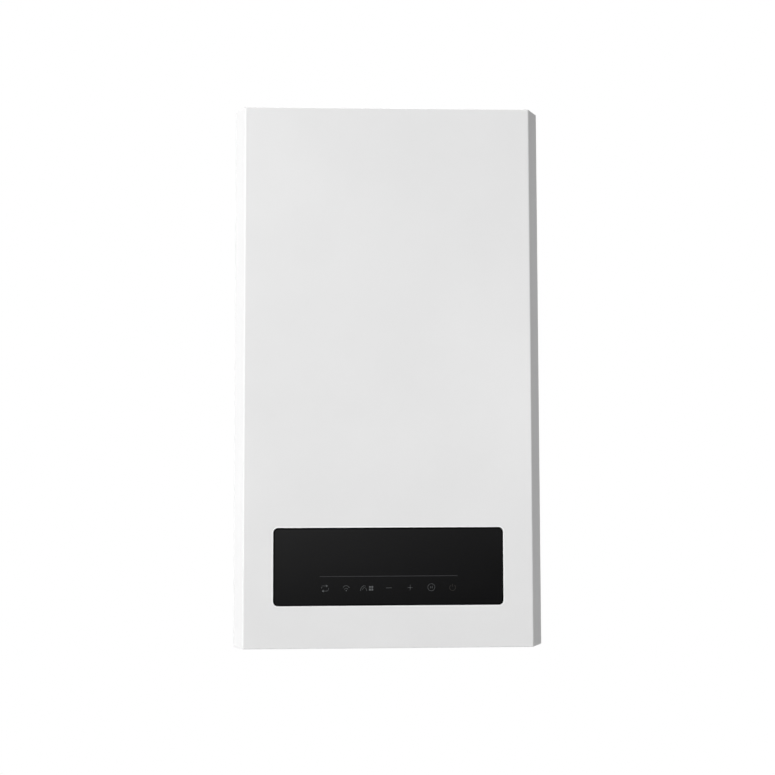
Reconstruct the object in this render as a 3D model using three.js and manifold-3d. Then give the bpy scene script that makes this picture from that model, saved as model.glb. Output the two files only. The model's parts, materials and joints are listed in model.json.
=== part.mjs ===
// Wall-hung gas combination boiler in millimetres, +Z up, front facing -Y.
//
// The origin is the middle of the hanging bracket's rear face, on the wall. Shapes are drawn in
// the casing's frame: X across from the middle, Y from 0 on the wall to -300 on the front face,
// Z from 0 on the casing's bottom edge to 700 on its top edge. The fan, the pump, the gauge and
// the control box are drawn about their own axis and placed by their group.

import * as THREE from 'three';
import { mergeVertices } from 'three/addons/utils/BufferGeometryUtils.js';
import Module from 'manifold-3d';

// ---- driving dimensions -------------------------------------------------------------------

const CASING = { width: 399, height: 700, depth: 300 };
const CHAMFER = { inset: 14, depth: 24 };
const COVER_DEPTH = 62;
const SHEET = 1.2;
const FIT = 0.3; // gap left between two pieces that touch
const SEAM = 0.8; // gap between two casing panels
const WINDOW = { width: 295, height: 99.4, radius: 6, bottom: 53.8 };
const GLASS = { gap: 0.7, thickness: 3, recess: 0.2 };

const BRACKET = {
  z: 660, width: 260, height: 60, plate: 2.5, tabX: 90, tabWidth: 36, tabTop: 10.5, reach: 21.5, lip: 14,
};
const REAR = { front: -13.2, edge: 198 };
const BOTTOM = { z: 2.2, lipFront: -262 };
const DIVIDER = { z: 188.6, front: -288, halfFront: 176 };
const SIDE_FLANGE = 20;

const FLUE = { y: -166, exhaust: 30, air: 50, top: 721 };
const FAN = {
  x: -51, z: 575, wheel: 50, tongue: 58, end: 82, half: 25, mouth: 66, mouthLeft: 20, inletRadius: 35,
};
const FOOT_BACK = 24.7; // the mouth flange stops short of the hood behind it
const SWITCH = { x: 118, z: 598, radius: 32, hoseZ: 676, drop: 34 };

const CHAMBER = { half: 124, back: -98, front: -262, bottom: 215, top: 401.7 };
const BURNER = { blades: 12, pitch: 18, bottom: 218, top: 262, jetY: -235 };
const EXCHANGER = {
  half: 122, back: -100, front: -260, bottom: 402, top: 474, tubes: 5, pitch: 28, tube: 8.5, waterway: 6.8,
};
const TUBE_Z = 438;
const STUB_END = 150;
const HOOD = { bottom: 474.3, top: 640, boxFront: -140.7 };
const VESSEL = { half: 150, bottom: 245, top: 650, back: -16, front: -86 };

const TAIL = { y: -95, bottom: -30, pitch: 65 };
const TAIL_LARGE = { thread: 13.2, bore: 9, pipe: 11.5, nut: 17 };
const TAIL_SMALL = { thread: 10.5, bore: 7, pipe: 9.5, nut: 14 };
const PUMP = { x: 120, z: 115, volute: 44, front: -118, impeller: 33, motor: 44 };
const FLOW = { left: -158, right: -104, back: -62.3, front: -120, bottom: 40, top: 130 };
const PLATES = { left: -98, right: 70, bottom: 50, top: 124, back: -20, front: -62, count: 5 };
const DIVERTER = { x: -131, z: 88, face: -146 };
const GAS = { half: 38, back: -72, front: -170, bottom: 70, top: 150 };
const FILLING = { x: 97, knob: 12.5 };
const GAUGE = { x: -97, y: -150, radius: 20 };
const GLAND = { x: 165, y: -190, bore: 4.5 };
const AIR_VENT = { x: 92, y: -68, low: 156 };
const SENSOR = { low: 22, high: 59.7, wall: 14, bore: 9 };
const RELIEF = { y: -128, z: 51, front: -140 };
const RETURN_PIPE = { x: 166, y: -104 };
const FLOW_PIPE = { x: -146, y: -100 };
const GAS_PIPE = { x: -12, y: -120, z: 203.5 };
const VESSEL_HOSE = { x: -100, y: -51, top: 233, portX: -88, portY: -76 };
const SIGHT = { x: -52, z: 318, radius: 10 };
const ELECTRODES = { z: 273, xs: [-18, 2, 18], pinFront: -277 };
const LEAD = { x: 18, front: -283, rear: -150, floor: 193.2, end: 174.6 };
const TONGUE_X = 100; // the two tongues of the cover and their slots in the top panel

const HINGE = { y: -262, z: 22, armX: 161, pin: 3 };
const BOX = { half: 168, front: -34.5, back: 36, bottom: 8, top: 156, wall: 2.4 };
const ICONS = { count: 7, middle: 1.2, pitch: 27.3, z: 76.8 }; // lamps behind the printed keys

// ---- joining and cutting closed solids ----------------------------------------------------

const wasm = await Module();
wasm.setup();
const WELD = 1e-4;

function signedVolume(points, triangles) {
  const [a, b, c] = [new THREE.Vector3(), new THREE.Vector3(), new THREE.Vector3()];
  let volume = 0;
  for (let i = 0; i < triangles.length; i += 3) {
    a.fromArray(points, 3 * triangles[i]);
    b.fromArray(points, 3 * triangles[i + 1]);
    c.fromArray(points, 3 * triangles[i + 2]);
    volume += a.dot(b.cross(c)) / 6;
  }
  return volume;
}

function toSolid(geometry) {
  const bare = geometry.clone();
  bare.deleteAttribute('normal');
  bare.deleteAttribute('uv');
  const welded = mergeVertices(bare, WELD);
  const points = new Float32Array(welded.attributes.position.array);
  const triangles = [];
  for (let i = 0; i < welded.index.count; i += 3) {
    const [a, b, c] = [0, 1, 2].map((corner) => welded.index.getX(i + corner));
    if (a !== b && b !== c && c !== a) triangles.push(a, b, c);
  }
  if (signedVolume(points, triangles) < 0) triangles.reverse();
  return new wasm.Manifold(
    new wasm.Mesh({ numProp: 3, vertProperties: points, triVerts: new Uint32Array(triangles) }),
  );
}

function toGeometry(body) {
  const { vertProperties, triVerts } = body.getMesh();
  const geometry = new THREE.BufferGeometry();
  geometry.setAttribute('position', new THREE.BufferAttribute(vertProperties, 3));
  geometry.setIndex(new THREE.BufferAttribute(triVerts, 1));
  return geometry;
}

function join(...parts) {
  return toGeometry(parts.map(toSolid).reduce((whole, part) => whole.add(part)));
}

function cut(body, ...tools) {
  return toGeometry(tools.map(toSolid).reduce((whole, tool) => whole.subtract(tool), toSolid(body)));
}

function common(first, second) {
  return toGeometry(toSolid(first).intersect(toSolid(second)));
}

// ---- basic shapes -------------------------------------------------------------------------

const AXES = {
  x: new THREE.Matrix4().makeBasis(
    new THREE.Vector3(0, 1, 0), new THREE.Vector3(0, 0, 1), new THREE.Vector3(1, 0, 0)),
  y: new THREE.Matrix4().makeBasis(
    new THREE.Vector3(1, 0, 0), new THREE.Vector3(0, 0, 1), new THREE.Vector3(0, -1, 0)),
  z: new THREE.Matrix4(),
};

function block(low, high) {
  const size = high.map((value, i) => value - low[i]);
  const middle = high.map((value, i) => (value + low[i]) / 2);
  return new THREE.BoxGeometry(...size).translate(...middle);
}

// the same block on both sides of the middle plane
function blockPair(low, high) {
  return [block(low, high), block([-high[0], low[1], low[2]], [-low[0], high[1], high[2]])];
}

function rod(from, to, radius, sides = 12) {
  const start = new THREE.Vector3(...from);
  const along = new THREE.Vector3(...to).sub(start);
  const turn = new THREE.Quaternion()
    .setFromUnitVectors(new THREE.Vector3(0, 1, 0), along.clone().normalize());
  return new THREE.CylinderGeometry(radius, radius, along.length(), sides)
    .translate(0, along.length() / 2, 0)
    .applyQuaternion(turn)
    .translate(...from);
}

// profile of [radius, height] pairs, turned about an axis that starts at base
function turned(base, direction, profile, sides = 16) {
  const points = profile.map(([radius, height]) => new THREE.Vector2(radius, height));
  const turn = new THREE.Quaternion()
    .setFromUnitVectors(new THREE.Vector3(0, 1, 0), new THREE.Vector3(...direction));
  return new THREE.LatheGeometry(points, sides).applyQuaternion(turn).translate(...base);
}

// a ring between two radii and two heights
function ring(base, direction, inner, outer, low, high, sides = 20) {
  const profile = [[inner, low], [outer, low], [outer, high], [inner, high], [inner, low]];
  return turned(base, direction, profile, sides);
}

// an outline pushed along one axis: an outline for 'y' is drawn in (x, z), for 'x' in (y, z)
function slab(axis, shape, low, high, curveSegments = 2) {
  const depth = high - low;
  const geometry = new THREE.ExtrudeGeometry(shape, { depth, bevelEnabled: false, curveSegments });
  const shift = axis === 'y' ? -high : low;
  return geometry.translate(0, 0, shift).applyMatrix4(AXES[axis]);
}

function outline(points) {
  return new THREE.Shape(points.map(([a, b]) => new THREE.Vector2(a, b)));
}

function roundedRect(a, b, width, height, radius) {
  const [left, right] = [a - width / 2, a + width / 2];
  const [low, high] = [b - height / 2, b + height / 2];
  const shape = new THREE.Shape();
  shape.absarc(right - radius, low + radius, radius, -Math.PI / 2, 0);
  shape.absarc(right - radius, high - radius, radius, 0, Math.PI / 2);
  shape.absarc(left + radius, high - radius, radius, Math.PI / 2, Math.PI);
  shape.absarc(left + radius, low + radius, radius, Math.PI, Math.PI * 1.5);
  shape.closePath();
  return shape;
}

// straight runs joined by round bends, with a station only where the direction changes
class BentPath extends THREE.Curve {
  constructor(corners, bend, bendSteps) {
    super();
    const points = corners.map((corner) => new THREE.Vector3(...corner));
    this.stations = [];
    this.addStation(points[0], points[1].clone().sub(points[0]));
    for (let i = 1; i < points.length - 1; i += 1) {
      this.addBend(points[i - 1], points[i], points[i + 1], bend, bendSteps);
    }
    const [before, last] = points.slice(-2);
    this.addStation(last, last.clone().sub(before));
  }

  addStation(place, direction) {
    this.stations.push({ place: place.clone(), direction: direction.clone().normalize() });
  }

  addBend(before, corner, after, bend, bendSteps) {
    const inward = before.clone().sub(corner).normalize();
    const outward = after.clone().sub(corner).normalize();
    const half = inward.angleTo(outward) / 2;
    const turn = Math.PI - 2 * half;
    const middle = inward.clone().add(outward).normalize();
    const centre = corner.clone().addScaledVector(middle, bend / Math.sin(half));
    const axis = outward.clone().cross(inward).normalize();
    const start = corner.clone().addScaledVector(inward, bend / Math.tan(half)).sub(centre);
    const heading = inward.clone().negate();
    for (let step = 0; step <= bendSteps; step += 1) {
      const angle = (turn * step) / bendSteps;
      const place = start.clone().applyAxisAngle(axis, angle).add(centre);
      this.addStation(place, heading.clone().applyAxisAngle(axis, angle));
    }
  }

  station(t) {
    return this.stations[Math.round(t * (this.stations.length - 1))];
  }

  getPoint(t, target = new THREE.Vector3()) {
    return target.copy(this.station(t).place);
  }

  getPointAt(u, target) {
    return this.getPoint(u, target);
  }

  getTangentAt(u, target = new THREE.Vector3()) {
    return target.copy(this.station(u).direction);
  }
}

function circle(radius, sides) {
  const points = [];
  for (let i = 0; i < sides; i += 1) {
    const angle = (2 * Math.PI * i) / sides;
    points.push([radius * Math.cos(angle), radius * Math.sin(angle)]);
  }
  return points;
}

// a pipe through its corner points; bore 0 makes it solid
function pipe(corners, radius, { bend = 14, bore = 0, sides = 8, bendSteps = 3 } = {}) {
  const path = new BentPath(corners, bend, bendSteps);
  const section = outline(circle(radius, sides));
  if (bore > 0) section.holes.push(outline(circle(bore, sides)));
  const steps = path.stations.length - 1;
  return join(new THREE.ExtrudeGeometry(section, { extrudePath: path, steps, bevelEnabled: false }));
}

// ---- finishes -----------------------------------------------------------------------------

const FINISH = {
  whitePaint: [0xe6e6e6, 0.45, 0.1],
  galvanised: [0xb4b8ba, 0.42, 0.85],
  stainless: [0xc2c4c6, 0.32, 0.95],
  castAluminium: [0xa9abad, 0.5, 0.8],
  copper: [0xb4683c, 0.35, 0.95],
  brass: [0xb8974e, 0.35, 0.95],
  redPaint: [0xa82a22, 0.5, 0.2],
  blackPlastic: [0x1d1e20, 0.55, 0],
  greyPlastic: [0x6e7276, 0.6, 0],
  redPlastic: [0xb3201c, 0.5, 0],
  whitePlastic: [0xdcdcd8, 0.5, 0],
  rubber: [0x26262a, 0.8, 0],
  glass: [0x101113, 0.08, 0],
  clearGlass: [0xd8e4e0, 0.05, 0],
  ceramic: [0xe8e2d4, 0.5, 0],
  fibreBoard: [0xd9d5c8, 0.95, 0],
  circuitBoard: [0x1f5a38, 0.5, 0.1],
  darkBoard: [0x16191c, 0.5, 0.1],
};

function piece(name, geometry, finish) {
  const [color, roughness, metalness] = FINISH[finish];
  const material = new THREE.MeshStandardMaterial({ color, roughness, metalness });
  const part = new THREE.Mesh(join(geometry), material);
  part.name = name;
  return part;
}

function assembly(place, ...parts) {
  const group = new THREE.Group();
  group.position.set(...place);
  group.add(...parts);
  return group;
}

// ---- casing -------------------------------------------------------------------------------

const HALF = CASING.width / 2;
const FACE = -CASING.depth;
const COVER_REAR = FACE + COVER_DEPTH;
const PANEL_FRONT = COVER_REAR + SEAM;
const SCREW_Y = COVER_REAR - 12;
const INSIDE = HALF - SHEET; // inner face of the side panels
const TRAY = REAR.edge - 0.2; // side edge of the top, bottom and divider panels
const PANEL_REAR = REAR.front - 0.7; // and their rear edge

function wallBracket() {
  const { z, width, height, plate, tabX, tabWidth, tabTop, reach, lip } = BRACKET;
  const [tabLow, tabHigh] = [z + tabTop - plate, z + tabTop];
  const hooks = [-tabX, tabX].flatMap((x) => [
    block([x - tabWidth / 2, -reach, tabLow], [x + tabWidth / 2, -plate / 2, tabHigh]),
    block([x - tabWidth / 2, -reach, tabLow], [x + tabWidth / 2, -reach + plate, tabLow + lip]),
  ]);
  const base = block([-width / 2, -plate, z - height / 2], [width / 2, 0, z + height / 2]);
  const holes = [-110, -50, 50, 110].map((x) => rod([x, -plate - 1, z - 16], [x, 1, z - 16], 4.2, 8));
  return piece('wall_bracket', cut(join(base, ...hooks), ...holes), 'galvanised');
}

function rearPanel() {
  const { front, edge } = REAR;
  const tray = cut(
    block([-edge, front, 0], [edge, 0, CASING.height]),
    block([-edge + SHEET, front + SHEET, SHEET], [edge - SHEET, 1, CASING.height - SHEET]),
  );
  const seat = BRACKET.z + BRACKET.tabTop + FIT;
  const slots = [-BRACKET.tabX, BRACKET.tabX].map((x) => {
    const half = BRACKET.tabWidth / 2 + 2;
    return block([x - half, front - 1, seat - 16], [x + half, front + SHEET + 1, seat]);
  });
  return piece('rear_panel', cut(tray, ...slots), 'galvanised');
}

function sidePanel(name, side) {
  const wall = block([INSIDE, PANEL_FRONT, 0], [HALF, -1, CASING.height]);
  const flange = block(
    [HALF - SIDE_FLANGE, PANEL_FRONT, 12], [HALF, PANEL_FRONT + SHEET, CASING.height - 22]);
  const panel = join(wall, flange);
  if (side < 0) panel.applyMatrix4(new THREE.Matrix4().makeScale(-1, 1, 1));
  return piece(name, panel, 'whitePaint');
}

function topPanel() {
  const top = CASING.height;
  const plate = block([-TRAY, PANEL_FRONT, top - SHEET], [TRAY, PANEL_REAR, top]);
  const apron = block([-TRAY, PANEL_FRONT, top - 20], [TRAY, PANEL_FRONT + SHEET, top - SHEET / 2]);
  const rims = blockPair(
    [TRAY - SHEET, PANEL_FRONT + 2, top - 14], [TRAY, PANEL_REAR, top - SHEET / 2]);
  const flueHole = rod([0, FLUE.y, top - 3], [0, FLUE.y, top + 1], FLUE.air + 1, 24);
  const slots = [-TONGUE_X, TONGUE_X].map((x) => {
    return block([x - 17, PANEL_FRONT - 1, top - 7], [x + 17, PANEL_FRONT + 2, top - 3.8]);
  });
  return piece('top_panel', cut(join(plate, apron, ...rims), flueHole, ...slots), 'whitePaint');
}

// the two ears on the bottom panel hold the pins that the control box swings on
function hingeEars() {
  const { y, z, armX, pin } = HINGE;
  return [-1, 1].flatMap((side) => [
    block(
      [side * (armX + 11) - 1, y - 6, BOTTOM.z + 0.4],
      [side * (armX + 11) + 1, y + 12, z]),
    rod([side * (armX + 10), y, z], [side * (armX + 12), y, z], 7),
    rod([side * (armX - 5), y, z], [side * (armX + 11), y, z], pin),
  ]);
}

function bottomPanel() {
  const { z, lipFront } = BOTTOM;
  const plate = block([-TRAY, lipFront, z], [TRAY, PANEL_REAR, z + SHEET]);
  const rims = blockPair([TRAY - SHEET, PANEL_FRONT + 3, z], [TRAY, PANEL_REAR, 18]);
  const hole = (x, y, radius) => rod([x, y, z - 1], [x, y, z + SHEET + 1], radius, 12);
  const holes = [
    ...[-2, -1, 0, 1, 2].map((place) => hole(place * TAIL.pitch, TAIL.y, 15)),
    hole(FILLING.x, TAIL.y, 7),
    hole(FILLING.x, -128, 7.5),
    hole(GAUGE.x, GAUGE.y, GAUGE.radius + 1.2),
    hole(GLAND.x, GLAND.y, 8.6),
    block([-3.5, lipFront - 1, z - 1], [3.5, lipFront + 18, z + SHEET + 1]),
  ];
  return piece('bottom_panel', cut(join(plate, ...rims, ...hingeEars()), ...holes), 'whitePaint');
}

function dividerPanel() {
  const { z, front, halfFront } = DIVIDER;
  const sheet = join(
    block([-TRAY, PANEL_FRONT + 2, z], [TRAY, PANEL_REAR, z + SHEET]),
    block([-halfFront, front, z], [halfFront, PANEL_FRONT + 3, z + SHEET]),
    block([-halfFront, front, z], [halfFront, front + SHEET, z + 10]),
    ...blockPair(
      [TRAY - SHEET, PANEL_FRONT + 2, z - 12], [TRAY, PANEL_REAR - 20, z + SHEET / 2]),
  );
  const hole = ([x, y], radius) => rod([x, y, z - 1], [x, y, z + SHEET + 1], radius, 10);
  const holes = [
    hole([FLOW_PIPE.x, FLOW_PIPE.y], 12),
    hole([RETURN_PIPE.x, RETURN_PIPE.y], 12),
    hole([GAS_PIPE.x, GAS_PIPE.y], 10),
    hole([LEAD.x, LEAD.rear], 5),
    hole([VESSEL_HOSE.x, VESSEL_HOSE.y], 8),
  ];
  return piece('divider_panel', cut(sheet, ...holes), 'galvanised');
}

// half of the cover's plan outline, drawn inset from the outer face
function coverOutline(inset, rear) {
  const fold = Math.atan2(CHAMFER.inset, CHAMFER.depth);
  const x = HALF - inset;
  const foldY = FACE + CHAMFER.depth + inset * Math.tan(fold / 2);
  const faceX = HALF - CHAMFER.inset - inset * Math.tan((Math.PI / 2 - fold) / 2);
  const right = [[x, rear], [x, foldY], [faceX, FACE + inset]];
  const left = right.map(([a, b]) => [-a, b]).reverse();
  return outline([...left, ...right]);
}

function frontCover() {
  const { width, height, radius, bottom } = WINDOW;
  const top = CASING.height;
  const tongues = [-TONGUE_X, TONGUE_X].flatMap((x) => [
    block([x - 15, COVER_REAR - 24, top - 6], [x + 15, COVER_REAR - 14, top - 0.6]),
    block([x - 15, COVER_REAR - 24, top - 6], [x + 15, COVER_REAR + 10, top - 4.8]),
  ]);
  const shell = cut(
    slab('z', coverOutline(0, COVER_REAR), 0, top),
    slab('z', coverOutline(SHEET, COVER_REAR + 1), SHEET, top - SHEET),
    slab('y', roundedRect(0, bottom + height / 2, width, height, radius), FACE - 1, FACE + SHEET + 1),
    rod([0, SCREW_Y, -1], [0, SCREW_Y, SHEET + 1], 2.8),
  );
  return piece('front_cover', join(shell, ...tongues), 'whitePaint');
}

// captive screw: it stays in the cover's bottom edge and leaves the panel's open slot with it
function coverScrew() {
  const profile = [
    [0, -3.2], [3.6, -3.2], [4.5, -2.4], [4.5, -0.3], [2.3, -0.3], [2.3, 11], [1.5, 12], [0, 12],
  ];
  return piece('cover_screw', turned([0, SCREW_Y, 0], [0, 0, 1], profile, 12), 'stainless');
}

function cableGland() {
  const { x, y, bore } = GLAND;
  const z = BOTTOM.z;
  const profile = [
    [bore, -13], [8, -13], [10.5, -10], [10.5, -5], [11.5, -5], [11.5, z - FIT], [8.2, z - FIT],
    [8.2, z + SHEET + FIT], [11.5, z + SHEET + FIT], [11.5, 9], [8.2, 9], [8.2, 13], [bore, 13], [bore, -13],
  ];
  return piece('cable_gland', turned([x, y, 0], [0, 0, 1], profile, 12), 'blackPlastic');
}

// ---- flue, fan and flue hood --------------------------------------------------------------

function flueAdaptor() {
  const { y, air, top } = FLUE;
  const base = CASING.height + 2.6;
  const profile = [
    [air - 2, base], [air + 14, base], [air + 14, base + 2.5], [air, base + 2.5],
    [air, top], [air - 2, top], [air - 2, base],
  ];
  return piece('flue_adaptor', turned([0, y, 0], [0, 0, 1], profile, 24), 'castAluminium');
}

function flueGasket() {
  const low = CASING.height + FIT;
  const gasket = ring([0, FLUE.y, 0], [0, 0, 1], FLUE.air + 2, FLUE.air + 12, low, low + 2, 24);
  return piece('flue_gasket', gasket, 'rubber');
}

// pipe from the fan's mouth to the flue, with its square foot and the stub for the pressure hose
function exhaustDuct() {
  const { y, exhaust, top } = FLUE;
  const foot = FAN.z + FAN.mouth + FIT;
  const body = join(
    block([-36, y - 30, foot], [36, y + FOOT_BACK, foot + 1.5]),
    rod([0, y, foot], [0, y, top - 6], exhaust, 20),
    rod([exhaust - 2, y, SWITCH.hoseZ], [exhaust + 12, y, SWITCH.hoseZ], 3.5, 8),
  );
  const bore = rod([0, y, foot - 1], [0, y, top], exhaust - SHEET, 20);
  const tap = rod([0, y, SWITCH.hoseZ], [exhaust + 13, y, SWITCH.hoseZ], 1.6, 6);
  return piece('exhaust_duct', cut(body, bore, tap), 'castAluminium');
}

// spiral case about the fan's axis, seen from the front, open at its upright mouth
function scrollOutline(inset, mouth) {
  const { tongue, end } = FAN;
  const [from, to] = [70, 360];
  const steps = 16;
  const points = [[end - inset, mouth]];
  for (let i = 0; i <= steps; i += 1) {
    const share = 1 - i / steps;
    const angle = THREE.MathUtils.degToRad(from + share * (to - from));
    const radius = tongue + share * (end - tongue) - inset;
    points.push([radius * Math.cos(angle), radius * Math.sin(angle)]);
  }
  points.push([FAN.mouthLeft + inset, mouth]);
  return outline(points);
}

function fanHousing() {
  const { half, mouth, mouthLeft, end, inletRadius } = FAN;
  const foot = block([mouthLeft - 5, -30, mouth - 1.6], [end + 5, FOOT_BACK, mouth]);
  const body = join(slab('y', scrollOutline(0, mouth), -half, half), foot);
  const hollow = slab('y', scrollOutline(SHEET, mouth + 1), -half + SHEET, half - SHEET);
  const inlet = rod([0, 0, 0], [0, half + 1, 0], inletRadius, 20);
  const shaftHole = rod([0, -half - 1, 0], [0, 0, 0], 6);
  return piece('fan_housing', cut(body, hollow, inlet, shaftHole), 'castAluminium');
}

function fanMotor() {
  const face = -FAN.half - FIT;
  const corners = [[-26, -26], [26, -26], [-26, 26], [26, 26]];
  const pillars = corners.map(([x, z]) => rod([x, face, z], [x, face - 12, z], 4, 6));
  const body = join(
    rod([0, face, 0], [0, face - 1.6, 0], 38, 20),
    ...pillars,
    block([-32, face - 30, -32], [32, face - 10, 34]),
    block([-24, face - 36, -50], [24, face - 4, -30]),
    block([-28, face - 36, 18], [28, face - 30, 26]),
    rod([0, face - 42, 0], [0, face, 0], 13, 12),
  );
  return piece('fan_motor', cut(body, rod([0, 1, 0], [0, face - 39, 0], 3.6, 8)), 'stainless');
}

function fanWheel() {
  const { wheel, half } = FAN;
  const [front, back] = [-half + 5, half - 6];
  const blades = [];
  const count = 12;
  for (let i = 0; i < count; i += 1) {
    const blade = block([-1, front, wheel - 11], [1, back, wheel - 0.4]);
    blade.translate(0, 0, -wheel + 5).rotateY(0.5).translate(0, 0, wheel - 5);
    blades.push(blade.rotateY((2 * Math.PI * i) / count));
  }
  const disc = rod([0, front - 1.2, 0], [0, front, 0], wheel, 24);
  const rim = ring([0, back - 1.2, 0], [0, 1, 0], wheel - 11, wheel, 0, 1.2, 24);
  const hub = rod([0, front - 1, 0], [0, front + 20, 0], 9, 12);
  const shaft = rod([0, front + 2, 0], [0, -half - 38, 0], 3, 8);
  return piece('fan_wheel', join(disc, rim, hub, shaft, ...blades), 'stainless');
}

function airPressureSwitch() {
  const { x, z, radius, hoseZ } = SWITCH;
  const y = FLUE.y;
  const foot = INSIDE - FIT;
  const capsule = [
    [0, 0], [radius - 3, 0], [radius - 3, 10], [radius, 11], [radius, 15], [radius - 3, 16],
    [radius - 8, 26], [0, 26],
  ];
  const body = join(
    turned([x, y + 13, z], [0, -1, 0], capsule, 20),
    rod([x, y, z], [x, y, hoseZ - SWITCH.drop], 3.5, 8),
    rod([x - 14, y, z], [x - 14, y, z + 44], 3.5, 8),
    block([x, y + 12, z - 14], [foot, y + 13.4, z + 14]),
    block([foot - SHEET, y + 12, z - 14], [foot, y + 34, z + 14]),
  );
  return piece('air_pressure_switch', body, 'blackPlastic');
}

function pressureHose() {
  const { x, hoseZ, drop } = SWITCH;
  const start = FLUE.exhaust + 12 + FIT;
  const corners = [[start, FLUE.y, hoseZ], [x, FLUE.y, hoseZ], [x, FLUE.y, hoseZ - drop + FIT]];
  return piece('pressure_hose', pipe(corners, 4, { bend: 22, bore: 2, bendSteps: 4 }), 'rubber');
}

// side and front outlines of the sheet hood, inset for the hollow
function hoodBody(inset, floor) {
  const { half, back, front } = EXCHANGER;
  const { bottom, top, boxFront } = HOOD;
  const side = outline([
    [front + inset, floor], [back - inset, floor], [back - inset, top - inset],
    [boxFront + inset, top - inset], [boxFront + inset, bottom + 23], [front + inset, bottom + 12 - inset],
  ]);
  const [left, right] = [FAN.x - 62, FAN.x + 62];
  const face = outline([
    [-half + inset, floor], [half - inset, floor], [half - inset, bottom + 20 - inset],
    [right - inset, bottom + 80], [right - inset, top - inset], [left + 14, top - inset],
    [left + inset, top - 16], [-half + inset, bottom + 60],
  ]);
  return common(slab('x', side, -half, half), slab('y', face, front, back));
}

function flueHood() {
  const { x, z, inletRadius } = FAN;
  const inlet = rod([x, HOOD.boxFront - 1, z], [x, HOOD.boxFront + 4, z], inletRadius, 20);
  const shell = cut(hoodBody(0, HOOD.bottom), hoodBody(SHEET, HOOD.bottom - 1), inlet);
  return piece('flue_hood', shell, 'stainless');
}

// ---- heat exchanger, combustion chamber and burner ----------------------------------------

const tubeY = (i) => EXCHANGER.back - 24 - EXCHANGER.pitch * i;

// finned copper core in its shell; one tube runs left and right through the fins and turns back
// outside the shell
function heatExchanger() {
  const { half, back, front, bottom, top, tubes, tube, waterway } = EXCHANGER;
  const turnX = half + 16;
  const snake = (reach, radius) => {
    const corners = [[reach, tubeY(0), TUBE_Z]];
    for (let i = 0; i < tubes - 1; i += 1) {
      const x = i % 2 === 0 ? -turnX : turnX;
      corners.push([x, tubeY(i), TUBE_Z], [x, tubeY(i + 1), TUBE_Z]);
    }
    corners.push([-reach, tubeY(tubes - 1), TUBE_Z]);
    return pipe(corners, radius, { bend: 13.9, sides: 6, bendSteps: 2 });
  };
  const shell = cut(
    block([-half, front, bottom], [half, back, top]),
    block([-half + 2, front + 2, bottom - 1], [half - 2, back - 2, top + 1]),
  );
  const fins = [-81, -27, 27, 81].map((x) => {
    return block([x - 0.6, front + 1, bottom + 6], [x + 0.6, back - 1, top - 6]);
  });
  const stubs = [[1, 0], [-1, tubes - 1]].map(([side, i]) => {
    return rod([side * (half - 1), tubeY(i), TUBE_Z], [side * (STUB_END - FIT), tubeY(i), TUBE_Z], 9.5);
  });
  const body = join(shell, ...fins, snake(STUB_END - 2, tube), ...stubs);
  return piece('heat_exchanger', cut(body, snake(STUB_END + 1, waterway)), 'copper');
}

function overheatThermostat() {
  const [x, y] = [-EXCHANGER.half - 14, tubeY(4)];
  const low = TUBE_Z + 9.5 + FIT;
  const body = join(
    rod([x, y, low], [x, y, low + 8], 8.5, 16),
    block([x - 7, y - 1, low + 6], [x - 4, y + 1, low + 17]),
    block([x + 4, y - 1, low + 6], [x + 7, y + 1, low + 17]),
  );
  return piece('overheat_thermostat', body, 'blackPlastic');
}

function combustionChamber() {
  const { half, back, front, bottom, top } = CHAMBER;
  const walls = cut(
    block([-half, front, bottom], [half, back, top]),
    block([-half + SHEET, front - 1, bottom - 1], [half - SHEET, back - SHEET, top + 1]),
  );
  const foot = DIVIDER.z + SHEET + FIT;
  const feet = [[front + 10, front + 34], [-150, -130]].flatMap(([from, to]) => [
    ...blockPair([half - SHEET, from, foot], [half, to, bottom + 1]),
    ...blockPair([half - SHEET, from, foot], [half + 11, to, foot + SHEET]),
  ]);
  const flanges = blockPair([half - SHEET, front, bottom], [half + 10, front + SHEET, top]);
  const ledges = blockPair([half - SHEET, front, top - SHEET], [half + 8, back, top]);
  return piece('combustion_chamber', join(walls, ...feet, ...flanges, ...ledges), 'stainless');
}

function chamberFront() {
  const { half, front, bottom, top } = CHAMBER;
  const face = front - FIT;
  const swages = [250, 372].map((z) => {
    return block([-half + 14, face - SHEET - 2.4, z - 4], [half - 14, face - SHEET / 2, z + 4]);
  });
  const plate = join(
    block([-half - 9, face - SHEET, bottom], [half + 9, face, top]),
    rod([SIGHT.x, face - SHEET - 4, SIGHT.z], [SIGHT.x, face - SHEET / 2, SIGHT.z], 16, 16),
    ...swages,
  );
  const body = cut(
    plate,
    rod([SIGHT.x, face - 8, SIGHT.z], [SIGHT.x, face + 1, SIGHT.z], SIGHT.radius - 2, 16),
    rod([SIGHT.x, face - 8, SIGHT.z], [SIGHT.x, face - SHEET, SIGHT.z], SIGHT.radius + FIT, 16),
    block([-26, face - 5, ELECTRODES.z - 7], [26, face + 1, ELECTRODES.z + 7]),
  );
  return piece('chamber_front', body, 'stainless');
}

function sightGlass() {
  const face = CHAMBER.front - FIT - SHEET;
  const disc = rod([SIGHT.x, face - 3.6, SIGHT.z], [SIGHT.x, face - FIT, SIGHT.z], SIGHT.radius, 16);
  return piece('sight_glass', disc, 'clearGlass');
}

function chamberInsulation() {
  const { half, back, front, top } = CHAMBER;
  const [x, low] = [half - SHEET - FIT, ELECTRODES.z + 12];
  const board = 12;
  const lining = cut(
    block([-x, front + FIT, low], [x, back - SHEET - FIT, top - 1]),
    block([-x + board, front + FIT + board, low - 1], [x - board, back - SHEET - FIT - board, top]),
    rod([SIGHT.x, front - 1, SIGHT.z], [SIGHT.x, front + 20, SIGHT.z], 8, 10),
  );
  return piece('chamber_insulation', lining, 'fibreBoard');
}

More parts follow.
